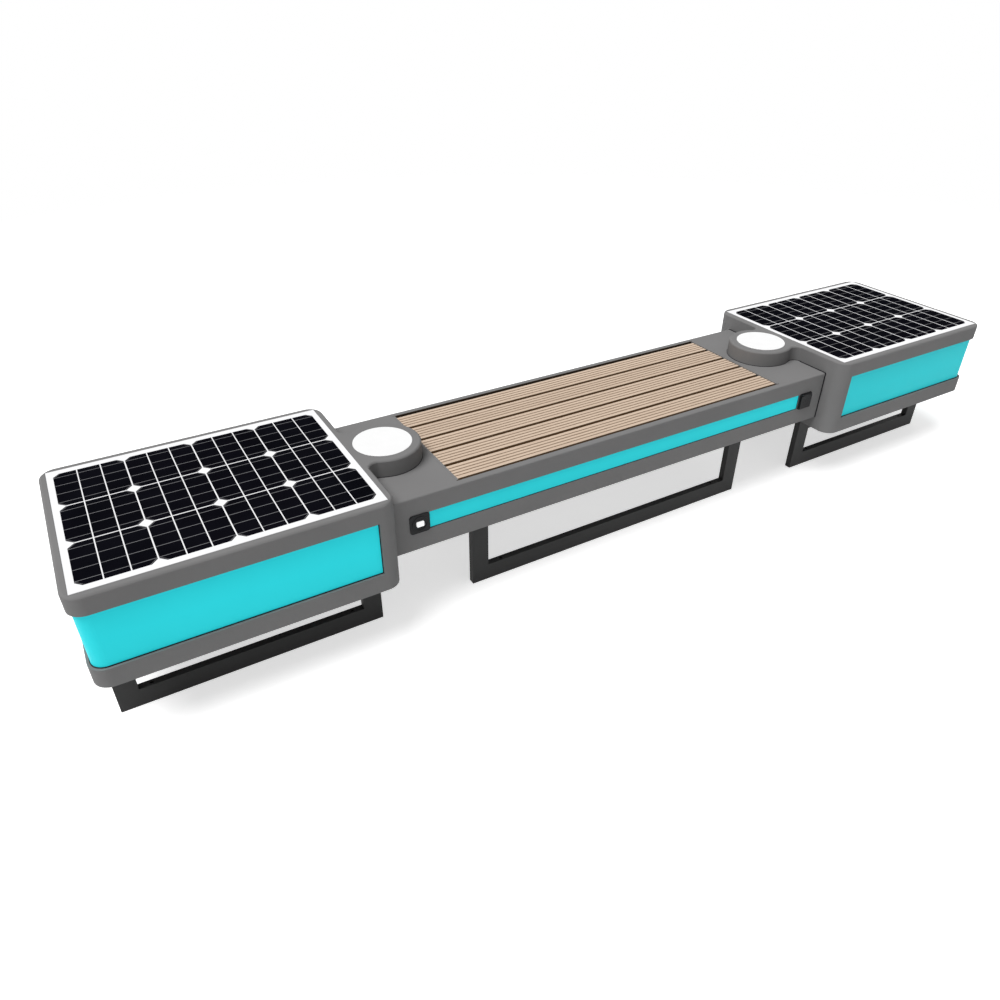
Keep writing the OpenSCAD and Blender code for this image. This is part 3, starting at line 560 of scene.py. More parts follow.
@dataclass(frozen=True)
class WoundCopper:
    """Enamelled copper wire wound in flat rings round the pads' middles."""

    name: str
    colour: Colour
    gap: Colour
    middle_x: float = 671.0
    wire: float = 2.0
    relief: float = 0.5

    def material(self) -> Material:
        """Builds the shader."""
        mix = Recipe(self.name)
        x, y, _ = mix.axes()
        out = mix.math("SUBTRACT", mix.math("ABSOLUTE", x), self.middle_x * MM)
        off = mix.from_line(mix.radius(out, y), self.wire)
        crown = mix.spread(off, 0.0, self.wire * MM / 2, 1.0, 0.0)
        mix.surface(
            Base_Color=mix.mix(mix.math("SQRT", crown), self.gap, self.colour),
            Metallic=1.0,
            Roughness=mix.sway(mix.noise(200.0), 0.25, 0.4),
        )
        mix.bump(crown, self.relief)
        return mix.material


@dataclass(frozen=True)
class LightTape:
    """White light tape with yellow chips, dimly lit."""

    name: str
    tape: Colour
    chip: Colour
    middle_z: float = 318.5
    chip_half: float = 2.6
    chip_pitch: float = 60.0
    chip_x: float = 28.0
    glow: float = 0.8

    def material(self) -> Material:
        """Builds the shader."""
        mix = Recipe(self.name)
        x, _, z = mix.axes()
        row = mix.math("LESS_THAN", mix.off(z, self.middle_z * MM), self.chip_half * MM)
        columns = mix.band(x, self.chip_pitch, self.chip_half, self.chip_x)
        chips = mix.math("MULTIPLY", row, columns)
        mix.surface(
            Base_Color=mix.mix(chips, self.tape, self.chip),
            Roughness=mix.sway(mix.noise(500.0), 0.4, 0.55),
            Emission_Color=self.tape,
            Emission_Strength=mix.math("MULTIPLY", chips, self.glow),
        )
        mix.bump(mix.noise(700.0, 1.0), 0.02)
        return mix.material


class Finishes:
    """All finishes of the bench, one material for each slot and a few special ones."""

    def __init__(self) -> None:
        """Builds every material once."""
        # Both windows are the same lit opal; the right one's weaker glow is painted shade.
        self.windows = {
            side: LitOpal(f"{side.word}_window_opal", strength, middle=318.5, half=73.5).material()
            for side, strength in ((Side.LEFT, 0.31), (Side.RIGHT, 0.20))
        }
        self.strip = LitOpal("strip_opal", 0.25, middle=314.5, half=25.0).material()
        # This black also makes the joint plate, joint lip and lobe foot beads that stand in for
        # shadow lines: painted shade.
        self.bead = MouldedPlastic(
            "glazing_bead", (0.012, 0.012, 0.014), roughness=0.5, gloss=0.15
        ).material()
        self.silicone = MouldedPlastic(
            "grey_silicone", (0.20, 0.205, 0.21), roughness=0.55, gloss=0.1
        ).material()
        self.lit_white = MouldedPlastic(
            "lit_button_white", (0.9, 0.9, 0.9), 0.4, 0.008, 0.01, gloss=0.1, glow=0.45
        ).material()
        looks = {
            Slot.POD_PAINT: PowderCoat("grey_powder_coat", (0.203, 0.201, 0.201), gloss=0.01),
            Slot.LEG_PAINT: PowderCoat(
                "black_powder_coat", (0.036, 0.036, 0.036), roughness=0.52, clouding=0.08,
                gloss=0.15,
            ),
            Slot.TRAY_PAINT: PowderCoat(
                "brown_powder_coat", (0.042, 0.028, 0.018), roughness=0.55, clouding=0.1,
                gloss=0.15,
            ),
            Slot.WHITE_PAINT: PowderCoat(
                "white_paint", (0.80, 0.80, 0.80), roughness=0.6, clouding=0.02
            ),
            Slot.WOOD_SLAT: GroovedComposite(
                "wood_composite", ridge=(0.650, 0.515, 0.40), streak=(0.556, 0.426, 0.324),
                # side: partly the board's own brown, partly painted shade of the gaps between slats
                groove=(0.25, 0.175, 0.12), side=(0.24, 0.13, 0.056),
                side_z=388.3, groove_z=388.6, ridge_z=389.8,
            ),
            Slot.LIGHT_TAPE: LightTape("light_tape", (0.8, 0.8, 0.76), (0.9, 0.66, 0.2)),
            Slot.BARE_ALU: BareMetal("drawn_aluminium", (0.72, 0.73, 0.75), 0.36),
            Slot.STEEL: BareMetal("zinc_steel", (0.52, 0.53, 0.54), 0.4, (300.0, 300.0, 300.0)),
            Slot.WHITE_LAMINATE: PanelSheet("panel_sheet", (0.88, 0.88, 0.89)),
            Slot.SOLAR_CELL: CellSilicon(
                "cell_silicon", (0.003, 0.003, 0.0048), finger=(0.008, 0.008, 0.012),
                bar=(0.20, 0.20, 0.21),
            ),
            Slot.BLACK_PLASTIC: MouldedPlastic(
                "black_plastic", (0.015, 0.015, 0.016), gloss=0.12
            ),
            Slot.BATTERY_CASE: BatteryCase(
                "battery_case", (0.05, 0.075, 0.12), lid=(0.02, 0.024, 0.03),
                lead=(0.35, 0.35, 0.36),
            ),
            Slot.PAD_WHITE: MouldedPlastic(
                "pad_white", (0.87, 0.87, 0.87), 0.38, 0.008, 0.01, gloss=0.15
            ),
            Slot.COPPER_COIL: WoundCopper(
                "wound_copper", (0.85, 0.42, 0.22), gap=(0.12, 0.05, 0.03)
            ),
            Slot.SEAL_RUBBER: MouldedPlastic(
                "seal_rubber", (0.02, 0.02, 0.021), 0.7, 0.05, 0.1, gloss=0.25
            ),
        }
        self.by_slot = {slot: look.material() for slot, look in looks.items()}
        self.by_slot[Slot.LIT_OPAL] = self.windows[Side.LEFT]

    def of(self, slot: Slot) -> Material:
        """Material of a slot."""
        return self.by_slot[slot]

    def paint(self, slot: Slot, *nodes: str, material: Material | None = None) -> None:
        """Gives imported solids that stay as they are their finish.

        Args:
            slot: Slot of the nodes.
            nodes: Names of the nodes.
            material: Another finish than the slot's own.
        """
        finish = material or self.of(slot)
        for name in nodes:
            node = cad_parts[name]
            if not node.material_slots:
                node.data.materials.append(finish)
            for place in node.material_slots:
                place.material = finish
            log.info("%s: %s", name, slot.value)


# Modelling tools


def placed(name: str, data: bpy.types.ID) -> Piece:
    """Adds a new object to the scene.

    Args:
        name: Name of the object and of its data.
        data: Its mesh, lamp or camera.

    Returns:
        The object.
    """
    data.name = name
    made = bpy.data.objects.new(name, data)
    bpy.context.scene.collection.objects.link(made)
    return made


def dress(piece: Piece, material: Material, slot: Slot, body: Body) -> Piece:
    """Gives a piece its finish and body, and reports it with its slot.

    Args:
        piece: New object, at the origin.
        material: Its finish.
        slot: Slot that the finish stands for.
        body: Body that it rides on.

    Returns:
        The same object.
    """
    piece.data.materials.clear()
    piece.data.materials.append(material)
    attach(piece, body.value)
    faces = len(piece.data.polygons)
    log.info("%s: %d faces, %s, on %s", piece.name, faces, slot.value, body.value)
    return piece


class Workpiece:
    """A mesh under the hand: a primitive that edit operators shape into one piece."""

    def __init__(self, name: str) -> None:
        """Names the piece and deselects everything else.

        Args:
            name: Name of the finished object.
        """
        self.name = name
        if bpy.context.object and bpy.context.object.mode != "OBJECT":
            bpy.ops.object.mode_set(mode="OBJECT")
        bpy.ops.object.select_all(action="DESELECT")

    def _start(self, size: Point = UNIT) -> Self:
        """Takes the new primitive, brings it to its size and opens it for editing.

        Args:
            size: Factors along X, Y and Z.

        Returns:
            This workpiece.
        """
        self.object = bpy.context.object
        self.object.name = self.object.data.name = self.name
        self.object.scale = size
        bpy.ops.object.transform_apply(location=True, rotation=True, scale=True)
        bpy.ops.object.mode_set(mode="EDIT")
        bpy.context.tool_settings.mesh_select_mode = (False, False, True)
        return self

    def block(self, low: Point, high: Point) -> Self:
        """Starts from a cube between its lowest and its highest corner, in millimetres."""
        middle = metres((a + b) / 2 for a, b in zip(low, high))
        bpy.ops.mesh.primitive_cube_add(size=1, location=middle)
        return self._start(metres(b - a for a, b in zip(low, high)))

    def sheet(self, middle: Point, length: float, depth: float, turn: Point = STILL) -> Self:
        """Starts from a flat rectangle, in millimetres, turned by angles in radians."""
        bpy.ops.mesh.primitive_plane_add(size=1, location=metres(middle), rotation=turn)
        return self._start((length * MM, depth * MM, 1.0))

    def drum(self, middle: Point, radius: float, height: float, sides: int) -> Self:
        """Starts from an upright cylinder with a number of sides, in millimetres."""
        bpy.ops.mesh.primitive_cylinder_add(
            vertices=sides, radius=radius * MM, depth=height * MM, location=metres(middle)
        )
        return self._start()

    def _pick(self, edges: bool, wanted: Callable[[object], bool]) -> Self:
        """Selects the edges or the faces that pass a test.

        Args:
            edges: Whether edges are meant, and not faces.
            wanted: Test of one edge or face.

        Returns:
            This workpiece.
        """
        bpy.context.tool_settings.mesh_select_mode = (False, edges, not edges)
        bpy.ops.mesh.select_all(action="DESELECT")
        mesh = bmesh.from_edit_mesh(self.object.data)
        for item in mesh.edges if edges else mesh.faces:
            if wanted(item):
                item.select_set(True)
        bmesh.update_edit_mesh(self.object.data)
        return self

    def pick_faces(self, wanted: Callable[[Vector, Vector], bool]) -> Self:
        """Selects the faces that a test on middle, in millimetres, and normal names."""
        return self._pick(False, lambda face: wanted(face.calc_center_median() / MM, face.normal))

    def pick_edges(self, wanted: Callable[[Vector, Vector], bool]) -> Self:
        """Selects the edges that a test on their two ends, in millimetres, names."""
        return self._pick(True, lambda edge: wanted(*(v.co / MM for v in edge.verts)))

    def pick_all(self) -> Self:
        """Selects the whole mesh."""
        bpy.ops.mesh.select_all(action="SELECT")
        return self

    def round_corners(self, radius: float, steps: int) -> Self:
        """Rounds the selected corners of a flat sheet by a radius, in millimetres."""
        bpy.ops.mesh.bevel(offset=radius * MM, segments=steps, affect="VERTICES")
        return self

    def inset(self, width: float, depth: float = 0.0) -> Self:
        """Insets the selected faces inwards by a width and outwards by a depth."""
        bpy.ops.mesh.inset(thickness=width * MM, depth=depth * MM)
        return self

    def pull(self, way: Point) -> Self:
        """Extrudes what is selected along X, Y and Z, in millimetres."""
        bpy.ops.mesh.extrude_region_move(TRANSFORM_OT_translate={"value": metres(way)})
        return self

    def soften(self, width: float, steps: int = 2) -> Self:
        """Bevels the selected edges by a width, in millimetres."""
        bpy.ops.mesh.bevel(offset=width * MM, segments=steps, affect="EDGES", clamp_overlap=True)
        return self

    def remove_faces(self) -> Self:
        """Deletes the selected faces."""
        bpy.ops.mesh.delete(type="FACE")
        return self

    def open_middle(self, width: float) -> Self:
        """Makes a flat sheet a frame of a width, in millimetres.

        Args:
            width: Width of the frame.

        Returns:
            This workpiece.
        """
        self.pick_all().inset(width)
        bpy.context.tool_settings.mesh_select_mode = (False, False, True)
        return self.remove_faces()

    def cut_away(self, point: Point, normal: Point) -> Self:
        """Cuts the mesh by a plane and closes it.

        Args:
            point: Point on the plane, in millimetres.
            normal: Direction of the side that goes.

        Returns:
            This workpiece.
        """
        self.pick_all()
        bpy.ops.mesh.bisect(
            plane_co=metres(point), plane_no=normal, use_fill=True, clear_outer=True
        )
        return self

    def outward(self) -> Self:
        """Merges doubles and turns all faces outwards."""
        self.pick_all()
        bpy.ops.mesh.remove_doubles(threshold=1e-6)
        bpy.ops.mesh.normals_make_consistent(inside=False)
        return self

    def done(self, material: Material, slot: Slot, body: Body = Body.BENCH) -> Piece:
        """Closes editing, dresses the piece and lets it ride on its body.

        Args:
            material: Its finish.
            slot: Slot that the finish stands for.
            body: Body that it rides on.

        Returns:
            The finished object.
        """
        bpy.ops.object.mode_set(mode="OBJECT")
        bpy.ops.object.shade_smooth_by_angle(angle=math.radians(SMOOTH_ANGLE))
        return dress(self.object, material, slot, body)


@dataclass(frozen=True)
class SoftEdge:
    """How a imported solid's copy gets its small edge rounding."""

    node: str
    width: float
    slot: Slot
    body: Body = Body.BENCH
    merge: float = 0.01
    fused: bool = False
    steps: int = 2
    flat_angle: float = 0.5
    edge_angle: float = 32.0
    smooth_angle: float = 50.0
    mitre_slope: float = 0.5
    mitre_level: float = 0.1
    mitre_area: float = 1e-6

    def build(self, finishes: Finishes, material: Material | None = None) -> None:
        """Copies the node's mesh, rounds its edges and lets it stand for the node.

        Args:
            finishes: All finishes.
            material: Another finish than the slot's own.
        """
        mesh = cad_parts[self.node].data.copy()
        piece = placed(self.node + "_finished", mesh)
        bpy.ops.object.select_all(action="DESELECT")
        bpy.context.view_layer.objects.active = piece
        piece.select_set(True)
        if mesh.has_custom_normals:
            bpy.ops.mesh.customdata_custom_splitnormals_clear()
        bpy.ops.object.mode_set(mode="EDIT")
        bpy.ops.mesh.select_all(action="SELECT")
        bpy.ops.mesh.remove_doubles(threshold=self.merge * MM)
        if self.fused:
            self._open_mitres(mesh)
        bpy.ops.mesh.select_all(action="SELECT")
        bpy.ops.mesh.dissolve_limited(
            angle_limit=math.radians(self.flat_angle), use_dissolve_boundaries=False
        )
        bpy.ops.object.mode_set(mode="OBJECT")
        rounding = piece.modifiers.new("rounding", "BEVEL")
        rounding.width = self.width * MM
        rounding.segments = self.steps
        rounding.limit_method = "ANGLE"
        rounding.angle_limit = math.radians(self.edge_angle)
        rounding.use_clamp_overlap = True
        bpy.ops.object.modifier_apply(modifier="rounding")
        bpy.ops.object.shade_smooth_by_angle(angle=math.radians(self.smooth_angle))
        even = piece.modifiers.new("even_shading", "WEIGHTED_NORMAL")
        even.keep_sharp = True
        bpy.ops.object.modifier_apply(modifier="even_shading")
        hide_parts(self.node)
        dress(piece, material or finishes.of(self.slot), self.slot, self.body)

    def _open_mitres(self, mesh: bpy.types.Mesh) -> None:
        """Deletes the end faces that lie inside a welded corner.

        Args:
            mesh: Mesh in edit mode.
        """
        bpy.context.tool_settings.mesh_select_mode = (False, False, True)
        bpy.ops.mesh.select_all(action="DESELECT")
        work = bmesh.from_edit_mesh(mesh)
        for face in work.faces:
            x, y, z = (abs(c) for c in face.normal)
            if min(x, z) > self.mitre_slope and y < self.mitre_level:
                face.select_set(face.calc_area() > self.mitre_area)
        bmesh.update_edit_mesh(mesh)
        bpy.ops.mesh.delete(type="FACE")


# Sub-assemblies


@dataclass
class EndPod:
    """One end pod: housing, lit window, solar panel, charging pad and power gear."""

    side: Side
    finishes: Finishes
    middle: float = 1100.0
    length: float = 700.0
    depth: float = 550.0
    corner_r: float = 40.0
    corner_steps: int = 8
    window_low: float = 245.0
    window_high: float = 392.0
    window_start: float = -302.0
    bead_w: float = 2.0
    bead_h: float = 2.0
    bead_edge: float = 0.5
    recess: float = 8.0
    rim_x: float = 334.0
    rim_y: float = 258.0
    joint: float = 1.0
    seal_low: float = 435.4
    seal_high: float = 439.6
    seal_edge: float = 0.25
    base_z: float = 195.0
    screw_inset: float = 11.0
    screw_xs: tuple[float, ...] = (-270.0, -90.0, 90.0, 270.0)
    plate_edge: float = 0.4
    pad_edge: float = 0.8
    battery_edge: float = 2.0
    box_edge: float = 1.5
    gear_edge: float = 0.6
    seat_top: float = 392.0
    lobe_x: float = 671.0
    lobe_r: float = 100.0
    blend_x: float = 725.0
    blend_r: float = 25.0
    play: float = 0.05
    # Size of the black foot bead that stands in for the lobe's contact shadow: painted shade.
    foot_w: float = 1.2
    foot_h: float = 1.2
    foot_sides: int = 96
    lock_x: float = -170.0
    lock_y: float = -55.0
    lock_top: float = 192.4
    lock_r: float = 9.0
    lock_h: float = 3.2
    lock_sides: int = 32
    lock_edge: float = 0.8
    lock_rim: float = 2.2
    groove_w: float = 0.4
    groove_depth: float = 0.5
    core_edge: float = 2.4
    core_rise: float = 0.3

    def at(self, x: float) -> float:
        """Bench X of a place given outwards from the pod's middle."""
        return self.side.value * (self.middle + x)

    def build(self) -> None:
        """Builds and dresses everything of this pod."""
        word, finishes = self.side.word, self.finishes
        gear = "left_charge_controller" if self.side is Side.LEFT else "right_light_driver"
        for edge in (
            SoftEdge(word + "_pod_shell", self.plate_edge, Slot.POD_PAINT),
            SoftEdge(word + "_pod_base", self.plate_edge, Slot.POD_PAINT),
            SoftEdge(word + "_service_door", self.plate_edge, Slot.POD_PAINT, self.side.door),
            SoftEdge(word + "_charging_pad", self.pad_edge, Slot.PAD_WHITE),
            SoftEdge(word + "_battery", self.battery_edge, Slot.BATTERY_CASE),
            SoftEdge(word + "_junction_box", self.box_edge, Slot.BLACK_PLASTIC),
            SoftEdge(gear, self.gear_edge, Slot.BLACK_PLASTIC),
        ):
            edge.build(finishes)
        for slot, node in (
            (Slot.STEEL, "_door_pin"), (Slot.WHITE_PAINT, "_light_wall"),
            (Slot.LIGHT_TAPE, "_pod_leds"), (Slot.BARE_ALU, "_panel_frame"),
            (Slot.WHITE_LAMINATE, "_solar_laminate"), (Slot.SOLAR_CELL, "_solar_cells"),
            (Slot.COPPER_COIL, "_charging_coil"),
        ):
            finishes.paint(slot, word + node)
        finishes.paint(Slot.LIT_OPAL, word + "_pod_diffuser", material=finishes.windows[self.side])
        self.window_bead("lower", self.window_low)
        self.window_bead("upper", self.window_high - self.bead_h)
        for face in Face:
            self.jamb_bead(face)
        self.panel_seal()
        self.contact_shade_beads()
        self.base_screws()
        self.cam_lock()

    def window_bead(self, level: str, z: float) -> None:
        """Glazing bead round three sides of the window.

        Args:
            level: Word for the name.
            z: Height of its underside, in millimetres.
        """
        outer = self.recess - self.bead_w
        bead = Workpiece(f"{self.side.word}_{level}_window_bead").sheet(
            (self.at(0), 0, z), self.length - 2 * outer, self.depth - 2 * outer
        )
        bead.pick_all().round_corners(self.corner_r - outer, self.corner_steps)
        bead.open_middle(self.bead_w).pick_all().pull((0, 0, self.bead_h))
        bead.outward().cut_away((self.at(self.window_start), 0, 0), (-self.side.value, 0, 0))
        bead.outward().done(self.finishes.bead, Slot.SEAL_RUBBER)

    def jamb_bead(self, face: Face) -> None:
        """Upright glazing bead at the window's inner end.

        Args:
            face: Front or back.
        """
        inner = self.depth / 2 - self.recess
        outer = inner + self.bead_w
        x0, x1 = sorted((self.at(self.window_start), self.at(self.window_start + self.bead_w)))
        y0, y1 = sorted((face.value * inner, face.value * outer))
        bead = Workpiece(f"{self.side.word}_{face.word}_jamb_bead").block(
            (x0, y0, self.window_low + self.bead_h), (x1, y1, self.window_high - self.bead_h)
        )
        bead.pick_edges(
            lambda a, b: abs(a.z - b.z) > NEAR and abs(a.y * face.value - outer) < NEAR
        )
        bead.soften(self.bead_edge).done(self.finishes.bead, Slot.SEAL_RUBBER)

    def panel_seal(self) -> None:
        """Silicone bead in the joint round the solar panel."""
        half_x, half_y = self.rim_x - self.play, self.rim_y - self.play
        seal = Workpiece(f"{self.side.word}_panel_seal").sheet(
            (self.at(0), 0, self.seal_low), 2 * half_x, 2 * half_y
        )
        seal.open_middle(self.joint - 2 * self.play)
        seal.pick_all().pull((0, 0, self.seal_high - self.seal_low))
        seal.outward().pick_edges(lambda a, b: min(a.z, b.z) > self.seal_high - NEAR)
        seal.soften(self.seal_edge).done(self.finishes.silicone, Slot.SEAL_RUBBER)

    def contact_shade_beads(self) -> None:
        """Black rubber bead at the foot of the charging lobe and of its two blends, standing in for
        the contact shadow there: painted shade.
        """
        way = self.side.value
        reach = self.lobe_r + self.blend_r
        out = self.blend_x - self.lobe_x
        blend_y = math.sqrt(reach ** 2 - out ** 2)
        touch = way * (self.lobe_x + self.lobe_r / reach * out)
        inner = self.lobe_r + self.play
        bead = self.contact_shade_ring("lobe", way * self.lobe_x, 0.0, inner, inner + self.foot_w)
        bead.cut_away((touch, 0, 0), (way, 0, 0))
        bead.outward().done(self.finishes.bead, Slot.SEAL_RUBBER)
        outer = self.blend_r - self.play
        for face in Face:
            y = face.value * blend_y
            corner = self.contact_shade_ring(
                f"{face.word}_blend", way * self.blend_x, y, outer - self.foot_w, outer
            )
            corner.cut_away((0, y, 0), (0, face.value, 0))
            corner.cut_away((touch, 0, 0), (-way, 0, 0))
            corner.outward().done(self.finishes.bead, Slot.SEAL_RUBBER)

    def contact_shade_ring(self, word: str, x: float, y: float, inner: float, outer: float) -> Workpiece:
        """Starts a bead as a whole ring on the seat box's top.

        Args:
            word: Word for the name.
            x: X of its middle, in millimetres.
            y: Y of its middle, in millimetres.
            inner: Inner radius, in millimetres.
            outer: Outer radius, in millimetres.

        Returns:
            The ring, open for editing.
        """
        z = self.seat_top + self.play + self.foot_h / 2
        ring = Workpiece(f"{self.side.word}_{word}_bead").drum(
            (x, y, z), outer, self.foot_h, self.foot_sides
        )
        ring.pick_faces(lambda c, n: abs(n.z) > FACING).inset(outer - inner)
        bpy.ops.mesh.bridge_edge_loops()
        return ring

    def base_screws(self) -> None:
        """Button-head screws that hold the base plate."""
        x = self.length / 2 - self.screw_inset
        y = self.depth / 2 - self.screw_inset
        places = [(c, s * y) for c in self.screw_xs for s in (-1, 1)]
        places += [(s * x, 0.0) for s in (-1, 1)]
        Screws(f"{self.side.word}_base_screw", self.base_z, self.finishes).build(
            [(self.at(px), py) for px, py in places]
        )

    def cam_lock(self) -> None:
        """Round cam lock on the service door."""
        low = self.lock_top - self.lock_h
        lock = Workpiece(f"{self.side.word}_door_lock").drum(
            (self.at(self.lock_x), self.lock_y, self.lock_top - self.lock_h / 2),
            self.lock_r, self.lock_h, self.lock_sides,
        )
        lock.pick_edges(lambda a, b: max(a.z, b.z) < low + NEAR).soften(self.lock_edge)
        lock.pick_faces(lambda c, n: n.z < -FACING and c.z < low + NEAR).inset(self.lock_rim)
        lock.inset(self.groove_w, -self.groove_depth).inset(self.core_edge, self.core_rise)
        lock.done(self.finishes.of(Slot.STEEL), Slot.STEEL, self.side.door)


@dataclass
class Screws:
    """Button-head screws with a socket, seen from below."""

    name: str
    plate_z: float
    finishes: Finishes
    head_r: float = 4.6
    head_h: float = 2.5
    head_sides: int = 18
    head_edge: float = 1.7
    head_steps: int = 3
    socket_r: float = 2.0
    socket_depth: float = 1.5

    def build(self, places: Sequence[tuple[float, float]]) -> None:
        """Models one screw and copies it, mesh and all, to every other place.

        Args:
            places: X and Y of each screw, in millimetres.
        """
        x0, y0 = places[0]
        first = self.model(x0, y0)
        for number, (x, y) in enumerate(places[1:], 2):
            copy = placed(f"{self.name}_{number}", first.data.copy())
            for vertex in copy.data.vertices:
                vertex.co += Vector((x - x0, y - y0, 0.0)) * MM
            dress(copy, self.finishes.of(Slot.STEEL), Slot.STEEL, Body.BENCH)

    def model(self, x: float, y: float) -> Piece:
        """Models the first screw.

        Args:
            x: Its X, in millimetres.
            y: Its Y, in millimetres.

        Returns:
            The screw.
        """
        low = self.plate_z - self.head_h
        screw = Workpiece(self.name + "_1").drum(
            (x, y, self.plate_z - self.head_h / 2), self.head_r, self.head_h, self.head_sides
        )
        screw.pick_edges(lambda a, b: max(a.z, b.z) < low + NEAR)
        screw.soften(self.head_edge, self.head_steps)
        screw.pick_faces(lambda c, n: n.z < -FACING and c.z < low + NEAR)
        screw.inset(self.head_r - self.head_edge - self.socket_r)
        screw.pull((0, 0, self.socket_depth))
        return screw.done(self.finishes.of(Slot.STEEL), Slot.STEEL)


@dataclass(frozen=True)
class JointSheet:
    """Upright sheet across the joint of seat box and pod, with rounded top corners."""

    name: str
    inner: float
    half: float
    low: float
    high: float
    corner: float
    wall: float
    outer: float = 749.95
    corner_steps: int = 5

    @property
    def middle(self) -> float:
        """Height of its middle."""
        return (self.low + self.high) / 2

    def start(self, side: Side) -> Workpiece:
        """Lays the sheet at one end of the bench and insets it by its wall.

        Args:
            side: End of the bench.

        Returns:
            The sheet, open for editing.
        """
        sheet = Workpiece(f"{side.word}_{self.name}").sheet(
            (side.value * self.inner, 0, self.middle), self.high - self.low, 2 * self.half,
            (0, math.pi / 2, 0),
        )
        sheet.pick_edges(lambda a, b: min(a.z, b.z) > self.high - NEAR)
        return sheet.round_corners(self.corner, self.corner_steps).pick_all().inset(self.wall)

    def thicken(self, sheet: Workpiece, side: Side) -> Workpiece:
        """Pulls the whole sheet across the joint and turns its faces outwards."""
        return sheet.pick_all().pull((side.value * (self.outer - self.inner), 0, 0)).outward()


@dataclass
class SeatBox:
    """Seat box between the pods: housing, slats, tray and light strips."""

    finishes: Finishes
    shell_edge: float = 0.5
    tray_edge: float = 0.4
    slat_edge: float = 0.55
    slat_count: int = 5
    strip_half: float = 647.5
    strip_low: float = 289.5
    strip_high: float = 339.5
    strip_face: float = 212.0
    bead_w: float = 1.5
    bead_out: float = 1.2
    bead_edge: float = 0.3
    base_z: float = 237.0
    screw_xs: tuple[float, ...] = (-660.0, -330.0, 0.0, 330.0, 660.0)
    screw_y: float = 204.5
    # The black joint plate and lip stand in for the shadow line where seat box and pod meet:
    # painted shade.
    shade_gasket: JointSheet = JointSheet(
        "joint_shade_gasket", inner=747.05, half=214.6, low=237.4, high=391.6, corner=5.0, wall=5.5
    )
    shade_gasket_edge: float = 0.4
    shade_gasket_reach: float = 0.5
    lip: JointSheet = JointSheet(
        "joint_lip", inner=744.8, half=215.8, low=236.2, high=392.8, corner=4.8, wall=0.75
    )
    lip_gap: float = 112.9
    lip_reach: float = 0.4
    trim_inner: float = 553.8
    trim_outer: float = 557.1
    trim_cap: float = 560.2
    trim_y: float = 195.0
    trim_low: float = 388.0
    trim_seat: float = 392.1
    trim_t: float = 0.5
    trim_edge: float = 0.25

    def build(self) -> None:
        """Builds and dresses everything of the seat box."""
        finishes = self.finishes
        for edge in (
            SoftEdge("seat_shell", self.shell_edge, Slot.POD_PAINT),
            SoftEdge("seat_base", self.shell_edge, Slot.POD_PAINT),
            SoftEdge("slat_tray", self.tray_edge, Slot.TRAY_PAINT),
            SoftEdge("slat_bearers", self.shell_edge, Slot.LEG_PAINT),
        ):
            edge.build(finishes)
        for number in range(1, self.slat_count + 1):
            SoftEdge(f"slat_{number}", self.slat_edge, Slot.WOOD_SLAT).build(finishes)
        finishes.paint(
            Slot.LIT_OPAL, "front_light_strip", "back_light_strip", material=finishes.strip
        )
        finishes.paint(Slot.BARE_ALU, "seat_light_rails")
        finishes.paint(Slot.BLACK_PLASTIC, "wiring_conduit")
        finishes.paint(Slot.SEAL_RUBBER, "joint_seals")
        finishes.paint(Slot.STEEL, "seat_bolts")
        for face in Face:
            self.strip_bead(face)
        for side in Side:
            self.joint_shade_gasket(side)
            self.joint_lip(side)
            self.slat_trim(side)
        Screws("seat_base_screw", self.base_z, finishes).build(
            [(x, s * self.screw_y) for s in (-1, 1) for x in self.screw_xs]
        )

    def strip_bead(self, face: Face) -> None:
        """Glazing bead round one light strip.

        Args:
            face: Front or back.
        """
        bead = Workpiece(f"{face.word}_strip_bead").sheet(
            (0, face.value * self.strip_face, (self.strip_low + self.strip_high) / 2),
            2 * self.strip_half, self.strip_high - self.strip_low,
            (face.value * -math.pi / 2, 0, 0),
        )
        bead.open_middle(self.bead_w).pick_all().pull((0, face.value * self.bead_out, 0))
        outer = self.strip_face + self.bead_out - NEAR
        bead.outward().pick_edges(lambda a, b: min(abs(a.y), abs(b.y)) > outer)
        bead.soften(self.bead_edge).done(self.finishes.bead, Slot.SEAL_RUBBER)

    def joint_shade_gasket(self, side: Side) -> None:
        """Black rubber plate in the joint between the seat box and a pod, standing in for the
        shadow line in the joint: painted shade.

        Args:
            side: End of the bench.
        """
        plate = self.shade_gasket.thicken(self.shade_gasket.start(side), side)
        limit_y, limit_z = (c - self.shade_gasket_reach for c in (self.shade_gasket.half, self.shade_gasket.high))
        plate.pick_edges(lambda a, b: abs(a.x - b.x) < NEAR and (
            max(abs(a.y), abs(b.y)) > limit_y or max(a.z, b.z) > limit_z
        ))
        plate.soften(self.shade_gasket_edge).done(self.finishes.bead, Slot.SEAL_RUBBER)

    def joint_lip(self, side: Side) -> None:
        """Rubber lip over the joint, left open where the charging lobe stands; its black stands in
        for the shadow line along the joint: painted shade.

        Args:
            side: End of the bench.
        """
        lip, middle = self.lip.start(side), self.lip.middle
        lip.pick_faces(lambda c, n: abs(c.y) < 1 and c.z > middle).remove_faces()
        start = self.lip.half - self.lip.corner
        for face in Face:
            y = face.value * start
            lip.pick_edges(lambda a, b: min(a.z, b.z) > middle
                           and max(abs(a.y - y), abs(b.y - y)) < self.lip_reach)
            lip.pull((0, face.value * (self.lip_gap - start), 0))
        self.lip.thicken(lip, side).done(self.finishes.bead, Slot.SEAL_RUBBER)

